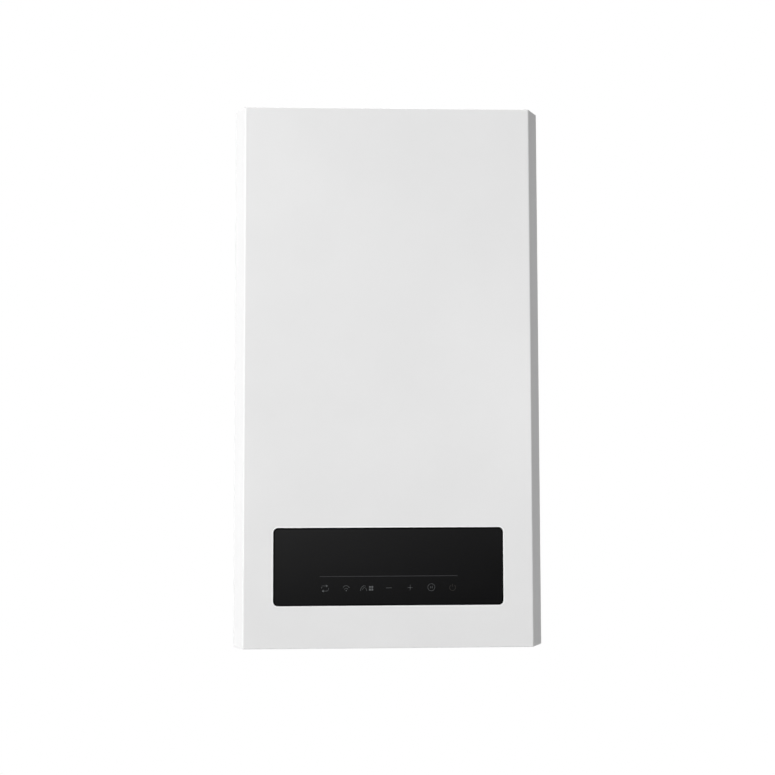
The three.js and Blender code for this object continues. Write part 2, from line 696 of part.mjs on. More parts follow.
const bladeX = (i) => BURNER.pitch * (i - (BURNER.blades - 1) / 2);
const bladeNumbers = [...Array(BURNER.blades).keys()];

// a row of thin blades held by a rail at the back and at the front
function burner() {
  const { bottom, top } = BURNER;
  const [back, front] = [-112, -250];
  const edge = CHAMBER.half - SHEET - FIT;
  const blades = bladeNumbers.map((i) => {
    return block([bladeX(i) - 4.5, front, bottom], [bladeX(i) + 4.5, back, top]);
  });
  const rails = [back - 1, front].map((y) => block([-edge, y, bottom + 6], [edge, y + 1.4, top - 12]));
  return piece('burner', join(...blades, ...rails), 'stainless');
}

function burnerManifold() {
  const { jetY, bottom } = BURNER;
  const [low, high] = [196, 211];
  const edge = CHAMBER.half - SHEET - 0.5;
  const ears = blockPair([104, jetY - 8, low + 4], [edge, jetY + 8, CHAMBER.bottom + 9]);
  const body = join(
    block([-110, jetY - 8, low], [110, jetY + 8, high]),
    ...ears,
    ...bladeNumbers.map((i) => rod([bladeX(i), jetY, high - 1], [bladeX(i), jetY, bottom - 1], 2.4, 6)),
    rod([GAS_PIPE.x, jetY, GAS_PIPE.z], [GAS_PIPE.x, jetY + 12, GAS_PIPE.z], 9.5, 10),
  );
  const inlet = rod([GAS_PIPE.x, jetY, GAS_PIPE.z], [GAS_PIPE.x, jetY + 13, GAS_PIPE.z], 6.4, 8);
  const gallery = block([-106, jetY - 5.5, low + 2.5], [106, jetY + 5.5, high - 2.5]);
  return piece('burner_manifold', cut(body, gallery, inlet), 'castAluminium');
}

function electrodeSet() {
  const face = CHAMBER.front - FIT - SHEET - FIT;
  const { z, xs, pinFront } = ELECTRODES;
  const parts = xs.flatMap((x) => [
    rod([x, face - 8, z], [x, face + 14, z], 4, 8),
    rod([x, pinFront, z], [x, face + 30, z], 1.5, 6),
  ]);
  const plate = block([-32, face - 1.6, z - 10], [32, face, z + 10]);
  return piece('electrode_set', join(plate, ...parts), 'ceramic');
}

function ignitionLead() {
  const { x, front, rear, floor, end } = LEAD;
  const start = [x, ELECTRODES.pinFront - FIT, ELECTRODES.z];
  const corners = [start, [x, front, ELECTRODES.z], [x, front, floor], [x, rear, floor], [x, rear, end]];
  return piece('ignition_lead', pipe(corners, 2.2, { bend: 5, sides: 6 }), 'redPlastic');
}

// ---- expansion vessel ---------------------------------------------------------------------

function expansionVessel() {
  const { half, bottom, top, back, front } = VESSEL;
  const [bulge, rounding] = [22, 14];
  const seam = (back + front) / 2;
  const width = 2 * (half - 6 - rounding);
  const height = top - bottom - 12 - 2 * rounding;
  const dish = (wall) => new THREE.ExtrudeGeometry(
    roundedRect(0, (top + bottom) / 2, width - 2 * wall, height - 2 * wall, 20),
    {
      depth: back - front - 2 * bulge,
      bevelThickness: bulge - wall,
      bevelSize: rounding,
      bevelSegments: 3,
      curveSegments: 1,
    },
  ).translate(0, 0, -back + bulge).applyMatrix4(AXES.y);
  const edge = roundedRect(0, (top + bottom) / 2, 2 * half, top - bottom, 40);
  const rim = slab('y', edge, seam - 1.5, seam + 1.5, 2);
  const pads = [300, 590].flatMap((z) => {
    return blockPair([100, back - 3, z - 12], [130, REAR.front - FIT, z + 12]);
  });
  const { x, y } = VESSEL_HOSE;
  const nipple = rod([x, y, VESSEL_HOSE.top], [x, y, bottom + 14], 8, 10);
  const valve = rod([100, seam, top - 10], [100, seam, top + 16], 5, 8);
  const port = rod([x, y, VESSEL_HOSE.top - 1], [x, y, bottom + 20], 4, 8);
  const shell = join(dish(0), rim, ...pads, nipple, valve);
  return piece('expansion_vessel', cut(shell, dish(1.6), port), 'redPaint');
}

function vesselHose() {
  const { x, y, top, portX, portY } = VESSEL_HOSE;
  const corners = [
    [x, y, top - FIT], [x, y, 172], [portX, portY, 152], [portX, portY, PLATES.top + 6 + FIT],
  ];
  return piece('vessel_hose', pipe(corners, 5.5, { bend: 12, bore: 3.5 }), 'stainless');
}

// ---- gas ----------------------------------------------------------------------------------

function gasValve() {
  const { half, back, front, bottom, top } = GAS;
  const inlet = rod([0, TAIL.y, 62], [0, TAIL.y, bottom + 2], 20, 16);
  const outlet = rod([GAS_PIPE.x, GAS_PIPE.y, top - 2], [GAS_PIPE.x, GAS_PIPE.y, top + 8], 14, 12);
  const coils = [-18, 18].flatMap((x) => [
    block([x - 14, front - 34, bottom + 18], [x + 14, front + 2, bottom + 56]),
    rod([x, front - 38, bottom + 37], [x, front - 32, bottom + 37], 8, 10),
  ]);
  const modulator = rod([-18, front + 22, top - 4], [-18, front + 22, top + 24], 15, 14);
  const igniter = block([4, -166, top - 1], [34, -132, LEAD.end - 0.4]);
  const valve = block([-half, front, bottom], [half, back, top]);
  const body = join(valve, inlet, outlet, ...coils, modulator, igniter);
  const bores = [
    rod([0, TAIL.y, 61], [0, TAIL.y, bottom + 20], 9, 10),
    rod([GAS_PIPE.x, GAS_PIPE.y, top - 20], [GAS_PIPE.x, GAS_PIPE.y, top + 9], 6, 8),
  ];
  return piece('gas_valve', cut(body, ...bores), 'castAluminium');
}

function gasPipe() {
  const { x, y, z } = GAS_PIPE;
  const corners = [[x, y, GAS.top + 8 + FIT], [x, y, z], [x, BURNER.jetY + 12 + FIT, z]];
  return piece('gas_pipe', pipe(corners, 7, { bend: 15, bore: 6 }), 'copper');
}

// ---- connection tails ---------------------------------------------------------------------

// threaded end below the casing, nut, pipe up through the bottom panel and a top collar
function tail(name, x, top, size) {
  const { thread, bore, pipe: wall, nut } = size;
  const profile = [
    [bore, TAIL.bottom], [thread - 1, TAIL.bottom], [thread, TAIL.bottom + 1], [thread, -15], [nut, -14],
    [nut, -3], [wall, -2], [wall, top - 9], [thread + 1.5, top - 8], [thread + 1.5, top], [bore, top],
    [bore, TAIL.bottom],
  ];
  return piece(name, turned([x, TAIL.y, 0], [0, 0, 1], profile, 12), 'brass');
}

// ---- water side ---------------------------------------------------------------------------

// volute with the return collector, cold inlet, filling valve and plate exchanger face in one
function pumpVolute() {
  const { x, z, volute, front } = PUMP;
  const returnX = 2 * TAIL.pitch - x;
  const coldX = TAIL.pitch - x;
  const fillX = FILLING.x - x;
  const body = join(
    rod([0, -50, 0], [0, front, 0], volute, 24),
    rod([returnX, TAIL.y, 28 - z], [returnX, TAIL.y, -20], 16, 12),
    block([coldX - 16, -80, PLATES.bottom + 2 - z], [-20, PLATES.front - FIT, PLATES.top - z]),
    block([coldX - 15, TAIL.y - 15, 60 - z], [coldX + 15, -79, 72 - z]),
    block([coldX + 17, TAIL.y - 13, 42 - z], [returnX, TAIL.y + 13, 62 - z]),
    block([coldX + 14, TAIL.y - 13, 61 - z], [coldX + 30, TAIL.y + 13, 72 - z]),
    rod([fillX, TAIL.y, 26 - z], [fillX, TAIL.y, 44 - z], 11, 12),
    rod([RETURN_PIPE.x - x, RETURN_PIPE.y, 10], [RETURN_PIPE.x - x, RETURN_PIPE.y, 45], 13, 12),
    block([20, RETURN_PIPE.y - 10, 5], [RETURN_PIPE.x - x, RETURN_PIPE.y + 10, 25]),
    rod([AIR_VENT.x - x, AIR_VENT.y, 10], [AIR_VENT.x - x, AIR_VENT.y, AIR_VENT.low - z], 11, 12),
  );
  const bores = [
    rod([0, -99, 0], [0, front - 1, 0], PUMP.impeller + 3, 20),
    rod([returnX, TAIL.y, 27 - z], [returnX, TAIL.y, -10], 10, 8),
    rod([fillX, TAIL.y, 25 - z], [fillX, TAIL.y, 55 - z], 5.6, 10),
    rod([RETURN_PIPE.x - x, RETURN_PIPE.y, 20], [RETURN_PIPE.x - x, RETURN_PIPE.y, 46], 8, 8),
    rod([coldX, TAIL.y, 59 - z], [coldX, TAIL.y, 68 - z], 7, 8),
  ];
  return piece('pump_volute', cut(body, ...bores), 'blackPlastic');
}

function airVent() {
  const { x, y, low } = AIR_VENT;
  const profile = [[0, 0], [9, 0], [14, 4], [14, 20], [10, 23], [5, 24], [5, 29], [0, 29]]
    .map(([radius, height]) => [radius, height + low + FIT]);
  return piece('air_vent', turned([x, y, 0], [0, 0, 1], profile, 14), 'brass');
}

function pumpMotor() {
  const { front, motor } = PUMP;
  const face = front - FIT;
  const body = join(
    rod([0, face, 0], [0, face - 8, 0], motor, 24),
    rod([0, face - 7, 0], [0, face - 58, 0], motor - 4, 24),
    slab('y', roundedRect(0, 0, 84, 84, 14), face - 92, face - 57, 2),
    rod([0, face - 94, 0], [0, face - 91, 0], 12, 12),
  );
  return piece('pump_motor', cut(body, rod([0, face + 1, 0], [0, face - 24, 0], 3.6, 8)), 'blackPlastic');
}

function pumpImpeller() {
  const { impeller, front } = PUMP;
  const [back, face] = [-102, front + 2.5];
  const vanes = [];
  const count = 6;
  for (let i = 0; i < count; i += 1) {
    const vane = block([-1, face + 1, 8], [1, back - 1, impeller - 1]);
    vane.translate(0, 0, -8).rotateY(0.6).translate(0, 0, 8);
    vanes.push(vane.rotateY((2 * Math.PI * i) / count));
  }
  const body = join(
    rod([0, face + 2, 0], [0, face, 0], impeller, 18),
    ring([0, back - 1.5, 0], [0, 1, 0], 14, impeller - 3, 0, 1.5, 16),
    rod([0, back - 4, 0], [0, face + 1, 0], 9.5, 10),
    rod([0, back - 6, 0], [0, front - 22, 0], 3, 8),
    ...vanes,
  );
  return piece('pump_impeller', body, 'whitePlastic');
}

// left-hand brass block: diverter valve, hot water outlet and the plate exchanger's left ports
function flowBlock() {
  const { left, right, back, front, bottom, top } = FLOW;
  const { x, z } = DIVERTER;
  const { portX, portY } = VESSEL_HOSE;
  const hotX = -TAIL.pitch;
  const flowX = -2 * TAIL.pitch;
  const body = join(
    block([left, front, bottom], [right, back, top]),
    rod([flowX, TAIL.y, 28], [flowX, TAIL.y, bottom + 1], 16, 12),
    rod([FLOW_PIPE.x, FLOW_PIPE.y, top - 1], [FLOW_PIPE.x, FLOW_PIPE.y, top + 9], 12.4, 12),
    block([right - 1, -88, PLATES.bottom + 2], [-74, back, PLATES.top]),
    block([hotX - 15, TAIL.y - 15, 40], [hotX + 15, back, 58]),
    block([-100, TAIL.y - 8, 44], [hotX, back, 70]),
    rod([portX, portY, PLATES.top - 2], [portX, portY, PLATES.top + 6], 7, 10),
    rod([x, front + 1, z], [x, DIVERTER.face, z], 16, 14),
  );
  const bores = [
    rod([x, DIVERTER.face - 1, z], [x, -76, z], 4.4, 10),
    rod([x, -108, z], [x, -84, z], 12, 14),
    rod([flowX, TAIL.y, 27], [flowX, TAIL.y, bottom + 24], 10, 8),
    rod([hotX, TAIL.y, 39], [hotX, TAIL.y, 50], 7, 8),
    rod([FLOW_PIPE.x, FLOW_PIPE.y, top - 14], [FLOW_PIPE.x, FLOW_PIPE.y, top + 10], 8, 8),
  ];
  return piece('flow_block', cut(body, ...bores), 'brass');
}

// the spindle pulls its disc from the rear seat to the front one, 8 mm on
function diverterSpindle() {
  const { x, z } = DIVERTER;
  const stem = rod([x, DIVERTER.face - 22, z], [x, -86, z], 3.6, 10);
  const disc = rod([x, -88, z], [x, -86, z], 10.5, 14);
  const head = rod([x, DIVERTER.face - 22, z], [x, DIVERTER.face - 18, z], 5.2, 10);
  return piece('diverter_spindle', join(stem, disc, head), 'stainless');
}

function diverterMotor() {
  const { x, z, face } = DIVERTER;
  const rear = face - FIT;
  const body = join(
    rod([x, rear, z], [x, rear - 12, z], 17, 14),
    block([x - 24, rear - 52, z - 22], [x + 24, rear - 11, z + 22]),
    rod([x, rear - 58, z], [x, rear - 51, z], 15, 14),
    block([x - 10, rear - 40, z - 30], [x + 10, rear - 22, z - 21]),
  );
  const bore = rod([x, rear + 1, z], [x, rear - 34, z], 6, 10);
  return piece('diverter_motor', cut(body, bore), 'whitePlastic');
}

// brazed stack: wide plates with narrower ones between them
function plateHeatExchanger() {
  const { left, right, bottom, top, back, front, count } = PLATES;
  const pitch = (back - front) / count;
  const stack = [];
  for (let i = 0; i < count; i += 1) {
    const low = front + pitch * i;
    const plate = (inset, from, to) => slab(
      'y',
      roundedRect((left + right) / 2, (bottom + top) / 2, right - left - inset, top - bottom - inset, 18),
      from, to, 1,
    );
    stack.push(plate(0, low, low + pitch * 0.55));
    stack.push(plate(4, low + pitch * 0.5, Math.min(low + pitch * 1.05, back)));
  }
  return piece('plate_heat_exchanger', join(...stack), 'stainless');
}

function flowSensor() {
  const { low, high, wall, bore } = SENSOR;
  const x = TAIL.pitch;
  const profile = [
    [bore, low], [wall, low], [wall, low + 8], [wall - 2, low + 9], [wall - 2, high - 9],
    [wall, high - 8], [wall, high], [bore, high], [bore, low],
  ];
  const body = join(
    turned([x, TAIL.y, 0], [0, 0, 1], profile, 14),
    block([x - 7, TAIL.y - 21, low + 12], [x + 7, TAIL.y - 10.5, low + 28]),
    rod([x - bore - 1, TAIL.y, low + 5], [x + bore + 1, TAIL.y, low + 5], 1.2, 6),
  );
  return piece('flow_sensor', body, 'blackPlastic');
}

function flowTurbine() {
  const { low, bore } = SENSOR;
  const base = low + 8;
  const blades = [];
  const count = 6;
  for (let i = 0; i < count; i += 1) {
    const blade = block([1, -0.6, -5], [bore - 1.8, 0.6, 5]).rotateX(0.35);
    blades.push(blade.rotateZ((2 * Math.PI * i) / count).translate(TAIL.pitch, TAIL.y, base + 10));
  }
  const hub = rod([TAIL.pitch, TAIL.y, base], [TAIL.pitch, TAIL.y, base + 20], 3, 10);
  return piece('flow_turbine', join(hub, ...blades), 'whitePlastic');
}

function safetyValve() {
  const { y, z, front } = RELIEF;
  const { x } = FILLING;
  const body = join(
    rod([x, TAIL.y - 13 - FIT, z], [x, front, z], 9.5, 12),
    rod([x, y, z], [x, y, -20], 6, 10),
    rod([x, front, z], [x, front - 10, z], 3.5, 10),
  );
  const drain = rod([x, y, z - 12], [x, y, -21], 4, 8);
  return piece('safety_valve', cut(body, drain), 'brass');
}

function safetyKnob() {
  const { z, front } = RELIEF;
  const { x } = FILLING;
  const lobes = 6;
  const cap = rod([x, front - FIT, z], [x, front - 16, z], 11, 12);
  const grips = [];
  for (let i = 0; i < lobes; i += 1) {
    const angle = (2 * Math.PI * i) / lobes;
    const [gx, gz] = [x + 11 * Math.cos(angle), z + 11 * Math.sin(angle)];
    grips.push(rod([gx, front - FIT, gz], [gx, front - 14, gz], 2.4, 6));
  }
  const bore = rod([x, front, z], [x, front - 11, z], 3.9, 10);
  return piece('safety_knob', cut(join(cap, ...grips), bore), 'redPlastic');
}

function fillingKnob() {
  const { x, knob } = FILLING;
  const lobes = 8;
  const grips = [];
  for (let i = 0; i < lobes; i += 1) {
    const angle = (2 * Math.PI * i) / lobes;
    const [gx, gy] = [x + (knob - 2) * Math.cos(angle), TAIL.y + (knob - 2) * Math.sin(angle)];
    grips.push(rod([gx, gy, -20], [gx, gy, -4], 2.2, 6));
  }
  const profile = [[0, -22], [8, -22], [10.5, -20], [10.5, -4], [5, -3], [5, 50], [0, 50]];
  const head = turned([x, TAIL.y, 0], [0, 0, 1], profile, 16);
  return piece('filling_knob', join(head, ...grips), 'blackPlastic');
}

function flowPipe() {
  const { x, y } = FLOW_PIPE;
  const outlet = tubeY(EXCHANGER.tubes - 1);
  const corners = [
    [-STUB_END, outlet, TUBE_Z], [-166, outlet, TUBE_Z], [-166, outlet, 252], [x, y, 218],
    [x, y, FLOW.top + 9 + FIT],
  ];
  return piece('flow_pipe', pipe(corners, 9, { bore: 8 }), 'copper');
}

function returnPipe() {
  const { x, y } = RETURN_PIPE;
  const inlet = tubeY(0);
  const corners = [
    [x, y, PUMP.z + 45 + FIT], [x, y, 340], [x, inlet, 375], [x, inlet, TUBE_Z], [STUB_END, inlet, TUBE_Z],
  ];
  return piece('return_pipe', pipe(corners, 9, { bore: 8 }), 'copper');
}

// ---- pressure gauge in the bottom panel, read from below -----------------------------------

function gaugeBody() {
  const { radius } = GAUGE;
  const profile = [
    [0, -1], [radius - 2, -1], [radius - 2, -5], [radius + 2.5, -5], [radius + 2.5, BOTTOM.z - FIT],
    [radius, BOTTOM.z - FIT], [radius, 22], [6, 23], [6, 34], [0, 34],
  ];
  return piece('gauge_body', cut(
    turned([0, 0, 0], [0, 0, 1], profile, 20),
    rod([0, 0, -2], [0, 0, 3], 1.4, 6),
  ), 'blackPlastic');
}

function gaugeNeedle() {
  const { radius } = GAUGE;
  const pointer = slab('z', outline([[-2, -4], [2, -4], [0.5, radius - 5], [-0.5, radius - 5]]), -2.6, -1.6);
  const hub = rod([0, 0, -3.2], [0, 0, -1.4], 3, 10);
  const shaft = rod([0, 0, -2], [0, 0, 2], 1, 6);
  return piece('gauge_needle', join(pointer, hub, shaft).rotateZ(Math.PI / 4), 'redPlastic');
}

// ---- control box, drawn about its hinge ---------------------------------------------------

const GLASS_Z = WINDOW.bottom + WINDOW.height / 2 - HINGE.z;
const GLASS_Y = FACE + GLASS.recess - HINGE.y;

function controlHousing() {
  const { half, front, back, bottom, top, wall } = BOX;
  const { armX, pin } = HINGE;
  const arms = [-armX, armX].flatMap((x) => [
    block([x - 3, -7, 0], [x + 3, 7, bottom + 1]),
    rod([x - 3, 0, 0], [x + 3, 0, 0], 7),
  ]);
  const stops = blockPair([118, back - 20, top - 0.5], [132, back - 8, top + 2.4]);
  const body = join(block([-half, front, bottom], [half, back, top]), ...arms, ...stops);
  const hollow = block([-half + wall, front + wall, bottom + wall], [half - wall, back + 1, top - wall]);
  const aperture = slab('y', roundedRect(0, GLASS_Z, 264, 78, 4), front - 1, front + wall + 1, 1);
  const eyes = [-armX, armX].map((x) => rod([x - 4, 0, 0], [x + 4, 0, 0], pin + FIT, 12));
  return piece('control_housing', cut(body, hollow, aperture, ...eyes), 'greyPlastic');
}

function controlLid() {
  const { half, back, bottom, top, wall } = BOX;
  const face = back + FIT;
  const play = wall + 0.4;
  const skirt = cut(
    block([-half + play, back - 6, bottom + play], [half - play, face + 0.5, top - play]),
    block([-half + play + 2, back - 7, bottom + play + 2], [half - play - 2, face + 1, top - play - 2]),
  );
  const plate = block([-half, face, bottom], [half, face + wall, top]);
  const ribs = [-90, -30, 30, 90].map((x) => {
    return block([x - 1, face - 3, bottom + 12], [x + 1, face + 0.5, top - 12]);
  });
  return piece('control_lid', join(plate, skirt, ...ribs), 'greyPlastic');
}

function touchGlass() {
  const { gap, thickness } = GLASS;
  const { width, height, radius } = WINDOW;
  const plate = roundedRect(0, GLASS_Z, width - 2 * gap, height - 2 * gap, radius - gap);
  return piece('touch_glass', slab('y', plate, GLASS_Y, GLASS_Y + thickness, 2), 'glass');
}

function displayBoard() {
  const face = BOX.front + BOX.wall + FIT;
  const iconZ = ICONS.z - HINGE.z;
  const lamps = [...Array(ICONS.count).keys()].map((i) => {
    const x = ICONS.middle + ICONS.pitch * (i - (ICONS.count - 1) / 2);
    return block([x - 5, face - 2, iconZ - 5], [x + 5, face + 0.5, iconZ + 5]);
  });
  const digits = block([-40, face - 2, iconZ + 24], [40, face + 0.5, iconZ + 54]);
  const socket = block([96, face + 1, GLASS_Z - 20], [120, face + 9, GLASS_Z - 10]);
  const board = block([-138, face, GLASS_Z - 43], [138, face + 1.6, GLASS_Z + 43]);
  return piece('display_board', join(board, digits, socket, ...lamps), 'darkBoard');
}

function mainBoard() {
  const rear = BOX.back - 14;
  const face = rear - 1.6;
  const [low, high] = [BOX.bottom + 10, BOX.top - 10];
  const chip = (x, z, width, height, depth) => {
    return block([x, face - depth, z], [x + width, face + 0.5, z + height]);
  };
  const relays = [0, 1, 2, 3].map((i) => chip(26 * i - 20, low + 8, 20, 28, 16));
  const sockets = [0, 1, 2, 3, 4].map((i) => chip(20 * i - 140, high - 16, 14, 12, 10));
  const capacitors = [100, 115, 130].map((x) => {
    return rod([x, face + 0.5, high - 30], [x, face - 24, high - 30], 6, 8);
  });
  const posts = [-128, 128].flatMap((x) => [low + 10, high - 22].map((z) => {
    return rod([x, rear - 0.5, z], [x, BOX.back, z], 3.5, 6);
  }));
  const body = join(
    block([-150, face, low], [150, rear, high]),
    chip(-138, low + 14, 52, 48, 34),
    chip(10, high - 46, 54, 34, 22),
    ...relays, ...capacitors, ...sockets, ...posts,
  );
  return piece('main_board', body, 'circuitBoard');
}

// ---- the whole boiler ---------------------------------------------------------------------

// left to right, each up to the piece it feeds
const tails = () => [
  tail('heating_flow_tail', -2 * TAIL.pitch, 27.7, TAIL_LARGE),
  tail('hot_water_tail', -TAIL.pitch, 39.7, TAIL_SMALL),
  tail('gas_tail', 0, 61.7, TAIL_LARGE),
  tail('cold_water_tail', TAIL.pitch, SENSOR.low - FIT, TAIL_SMALL),
  tail('heating_return_tail', 2 * TAIL.pitch, 27.7, TAIL_LARGE),
];

const casing = assembly(
  [0, 0, 0],
  wallBracket(), rearPanel(), sidePanel('left_side_panel', -1), sidePanel('right_side_panel', 1),
  topPanel(), bottomPanel(), dividerPanel(), frontCover(), coverScrew(), cableGland(),
);
const combustion = assembly(
  [0, 0, 0],
  flueAdaptor(), flueGasket(), exhaustDuct(), airPressureSwitch(), pressureHose(), flueHood(),
  heatExchanger(), overheatThermostat(), combustionChamber(), chamberFront(), sightGlass(),
  chamberInsulation(), burner(), burnerManifold(), electrodeSet(), ignitionLead(),
);
const fan = assembly([FAN.x, FLUE.y, FAN.z], fanHousing(), fanMotor(), fanWheel());
const water = assembly(
  [0, 0, 0],
  expansionVessel(), vesselHose(), gasValve(), gasPipe(), ...tails(), airVent(), flowBlock(),
  diverterSpindle(), diverterMotor(), plateHeatExchanger(), flowSensor(), flowTurbine(),
  safetyValve(), safetyKnob(), fillingKnob(), flowPipe(), returnPipe(),
);
const pump = assembly([PUMP.x, 0, PUMP.z], pumpVolute(), pumpMotor(), pumpImpeller());
const gauge = assembly([GAUGE.x, GAUGE.y, 0], gaugeBody(), gaugeNeedle());
const controls = assembly(
  [0, HINGE.y, HINGE.z],
  controlHousing(), controlLid(), touchGlass(), displayBoard(), mainBoard(),
);

const boiler = new THREE.Group();
boiler.add(assembly([0, 0, -BRACKET.z], casing, combustion, fan, water, pump, gauge, controls));

export default boiler;
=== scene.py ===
import json
import math

import bmesh
import bpy
from mathutils import Matrix, Vector


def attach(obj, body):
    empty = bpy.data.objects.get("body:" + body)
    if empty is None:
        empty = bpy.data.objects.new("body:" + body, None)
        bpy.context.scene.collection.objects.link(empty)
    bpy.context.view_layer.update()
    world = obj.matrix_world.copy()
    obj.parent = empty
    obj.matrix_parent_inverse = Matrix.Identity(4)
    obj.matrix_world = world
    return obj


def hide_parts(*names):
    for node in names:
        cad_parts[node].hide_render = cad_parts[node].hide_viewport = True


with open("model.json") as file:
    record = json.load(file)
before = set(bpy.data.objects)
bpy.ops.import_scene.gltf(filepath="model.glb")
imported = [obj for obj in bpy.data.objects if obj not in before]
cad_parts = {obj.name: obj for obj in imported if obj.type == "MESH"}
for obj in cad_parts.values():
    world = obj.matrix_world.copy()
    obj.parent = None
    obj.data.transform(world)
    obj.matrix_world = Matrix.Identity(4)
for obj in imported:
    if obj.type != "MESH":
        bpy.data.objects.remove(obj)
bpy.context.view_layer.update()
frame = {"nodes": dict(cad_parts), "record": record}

# The looks of a wall-hung combination boiler. Every piece is drawn in the casing's own
# millimetres (X across, Y 0 on the wall and -300 on the front face, Z 0 to 700 up the casing)
# and brought into the row frame, which has its origin 660 mm up the casing, in metres.

MM = 0.001
LIFT = 660
TAU = 2 * math.pi
UP, DOWN, FRONT, BACK, RIGHT = (0, 0, 1), (0, 0, -1), (0, -1, 0), (0, 1, 0), (1, 0, 0)

# ---- camera --------------------------------------------------------------------------------

CAMERA_PLACE = (-0.0601, -1.8, -0.4175)
CAMERA_YAW, CAMERA_PITCH, CAMERA_ROLL = 2.26, -3.45, -0.14
FRAME_WIDTH = 775
FOCAL_PIXELS = 1164.4
SENSOR = 36
CAMERA_REACH = 60


def make_camera():
    data = bpy.data.cameras.new("camera")
    data.sensor_width = SENSOR
    data.lens = FOCAL_PIXELS / FRAME_WIDTH * SENSOR
    data.clip_end = CAMERA_REACH
    turn = (
        Matrix.Rotation(math.radians(CAMERA_ROLL), 3, "Y")
        @ Matrix.Rotation(math.radians(CAMERA_PITCH), 3, "X")
        @ Matrix.Rotation(math.radians(CAMERA_YAW), 3, "Z")
    )
    right, forward, up = turn.row
    heading = Matrix((right, up, -forward)).transposed()
    camera = bpy.data.objects.new("camera", data)
    camera.matrix_world = Matrix.Translation(CAMERA_PLACE) @ heading.to_4x4()
    bpy.context.scene.collection.objects.link(camera)
    bpy.context.scene.camera = camera


# ---- materials -----------------------------------------------------------------------------


def srgb(*levels):
    """A colour written as sRGB levels from 0 to 255, in linear light."""
    shares = [level / 255 for level in levels]
    linear = [c / 12.92 if c <= 0.04045 else ((c + 0.055) / 1.055) ** 2.4 for c in shares]
    return (*linear, 1.0)


def shade(color, factor):
    return (*[min(1.0, c * factor) for c in color[:3]], 1.0)


class Nodes:
    """A node material under construction: a principled shader and what feeds it."""

    def __init__(self, name):
        self.material = bpy.data.materials.new(name)
        self.material.use_nodes = True
        self.tree = self.material.node_tree
        self.shader = self.tree.nodes["Principled BSDF"]
        self.place = self.add("ShaderNodeTexCoord").outputs["Object"]

    def add(self, kind, settings=None, **inputs):
        node = self.tree.nodes.new(kind)
        for key, value in (settings or {}).items():
            setattr(node, key, value)
        for key, value in inputs.items():
            self.feed(node.inputs[key.replace("_", " ")], value)
        return node

    def feed(self, socket, value):
        if isinstance(value, bpy.types.NodeSocket):
            self.tree.links.new(value, socket)
        else:
            socket.default_value = value

    def set(self, **inputs):
        for key, value in inputs.items():
            self.feed(self.shader.inputs[key.replace("_", " ")], value)

    def noise(self, scale, detail, rough=0.5):
        node = self.add("ShaderNodeTexNoise", Vector=self.place, Scale=scale, Detail=detail,
                        Roughness=rough)
        return node.outputs["Fac"]

    def streaks(self, stretch, detail, rough):
        """Noise drawn out along one way, by its scales in X, Y and Z."""
        place = self.add("ShaderNodeMapping", Vector=self.place, Scale=stretch).outputs[0]
        node = self.add("ShaderNodeTexNoise", Vector=place, Scale=1, Detail=detail, Roughness=rough)
        return node.outputs["Fac"]

    def cells(self, scale, output):
        return self.add("ShaderNodeTexVoronoi", Vector=self.place, Scale=scale).outputs[output]

    def ranged(self, value, low, high, into_low, into_high):
        node = self.add("ShaderNodeMapRange")
        for socket, v in zip(node.inputs, (value, low, high, into_low, into_high)):
            self.feed(socket, v)
        return node.outputs[0]

    def clouds(self, scale, detail, low=0, high=1):
        """Noise spread over low to high."""
        return self.ranged(self.noise(scale, detail), 0.3, 0.7, low, high)

    def mixed(self, share, first, second):
        node = self.add("ShaderNodeMix", {"data_type": "RGBA"})
        self.feed(node.inputs[0], share)
        self.feed(node.inputs[6], first)
        self.feed(node.inputs[7], second)
        return node.outputs[2]

    def bumped(self, *layers):
        """Bump layers as (height, strength, distance in metres), one over the other."""
        normal = None
        for height, strength, distance in layers:
            node = self.add("ShaderNodeBump", Height=height, Strength=strength, Distance=distance)
            if normal:
                self.feed(node.inputs["Normal"], normal)
            normal = node.outputs[0]
        self.set(Normal=normal)


def powder_coat(n, color, rough=0.38):
    """Sprayed and baked paint: fine orange peel over a faint long wave."""
    n.set(Base_Color=n.mixed(n.clouds(9, 3), shade(color, 0.985), shade(color, 1.01)))
    n.set(Roughness=n.clouds(240, 2, rough - 0.04, rough + 0.05), Specular_IOR_Level=0.42)
    n.bumped((n.noise(620, 2), 0.1, 0.0002), (n.noise(14, 1), 0.06, 0.0015))


def galvanised(n):
    """Zinc with its spangle: crystals of slightly different greys and gloss."""
    tone = n.add("ShaderNodeSeparateColor", Color=n.cells(150, "Color")).outputs[0]
    n.set(Base_Color=n.mixed(tone, srgb(166, 169, 172), srgb(187, 190, 192)), Metallic=0.9)
    n.set(Roughness=n.ranged(tone, 0, 1, 0.44, 0.54))
    n.bumped((n.noise(700, 3), 0.12, 0.0001), (n.cells(150, "Distance"), 0.03, 0.0002))


def drawn_metal(n, color, rough, grain=(6, 6, 900), tint=0.93):
    """Rolled or brushed sheet: streaks along the grain, clouded tone."""
    streak = n.streaks(grain, 4, 0.6)
    n.set(Base_Color=n.mixed(n.clouds(22, 3), shade(color, tint), color), Metallic=1.0)
    n.set(Roughness=n.ranged(streak, 0.3, 0.7, rough - 0.07, rough + 0.09))
    n.bumped((streak, 0.1, 0.00012), (n.noise(40, 2), 0.04, 0.0008))


def cast_metal(n, color):
    """Die casting: sandy skin with a few smoother flow marks."""
    flow = n.ranged(n.noise(30, 4), 0.35, 0.65, 0, 1)
    n.set(Base_Color=n.mixed(flow, shade(color, 0.86), color), Metallic=0.95)
    n.set(Roughness=n.ranged(flow, 0, 1, 0.6, 0.44))
    n.bumped((n.noise(1500, 4, 0.65), 0.35, 0.00012), (flow, 0.05, 0.0004))


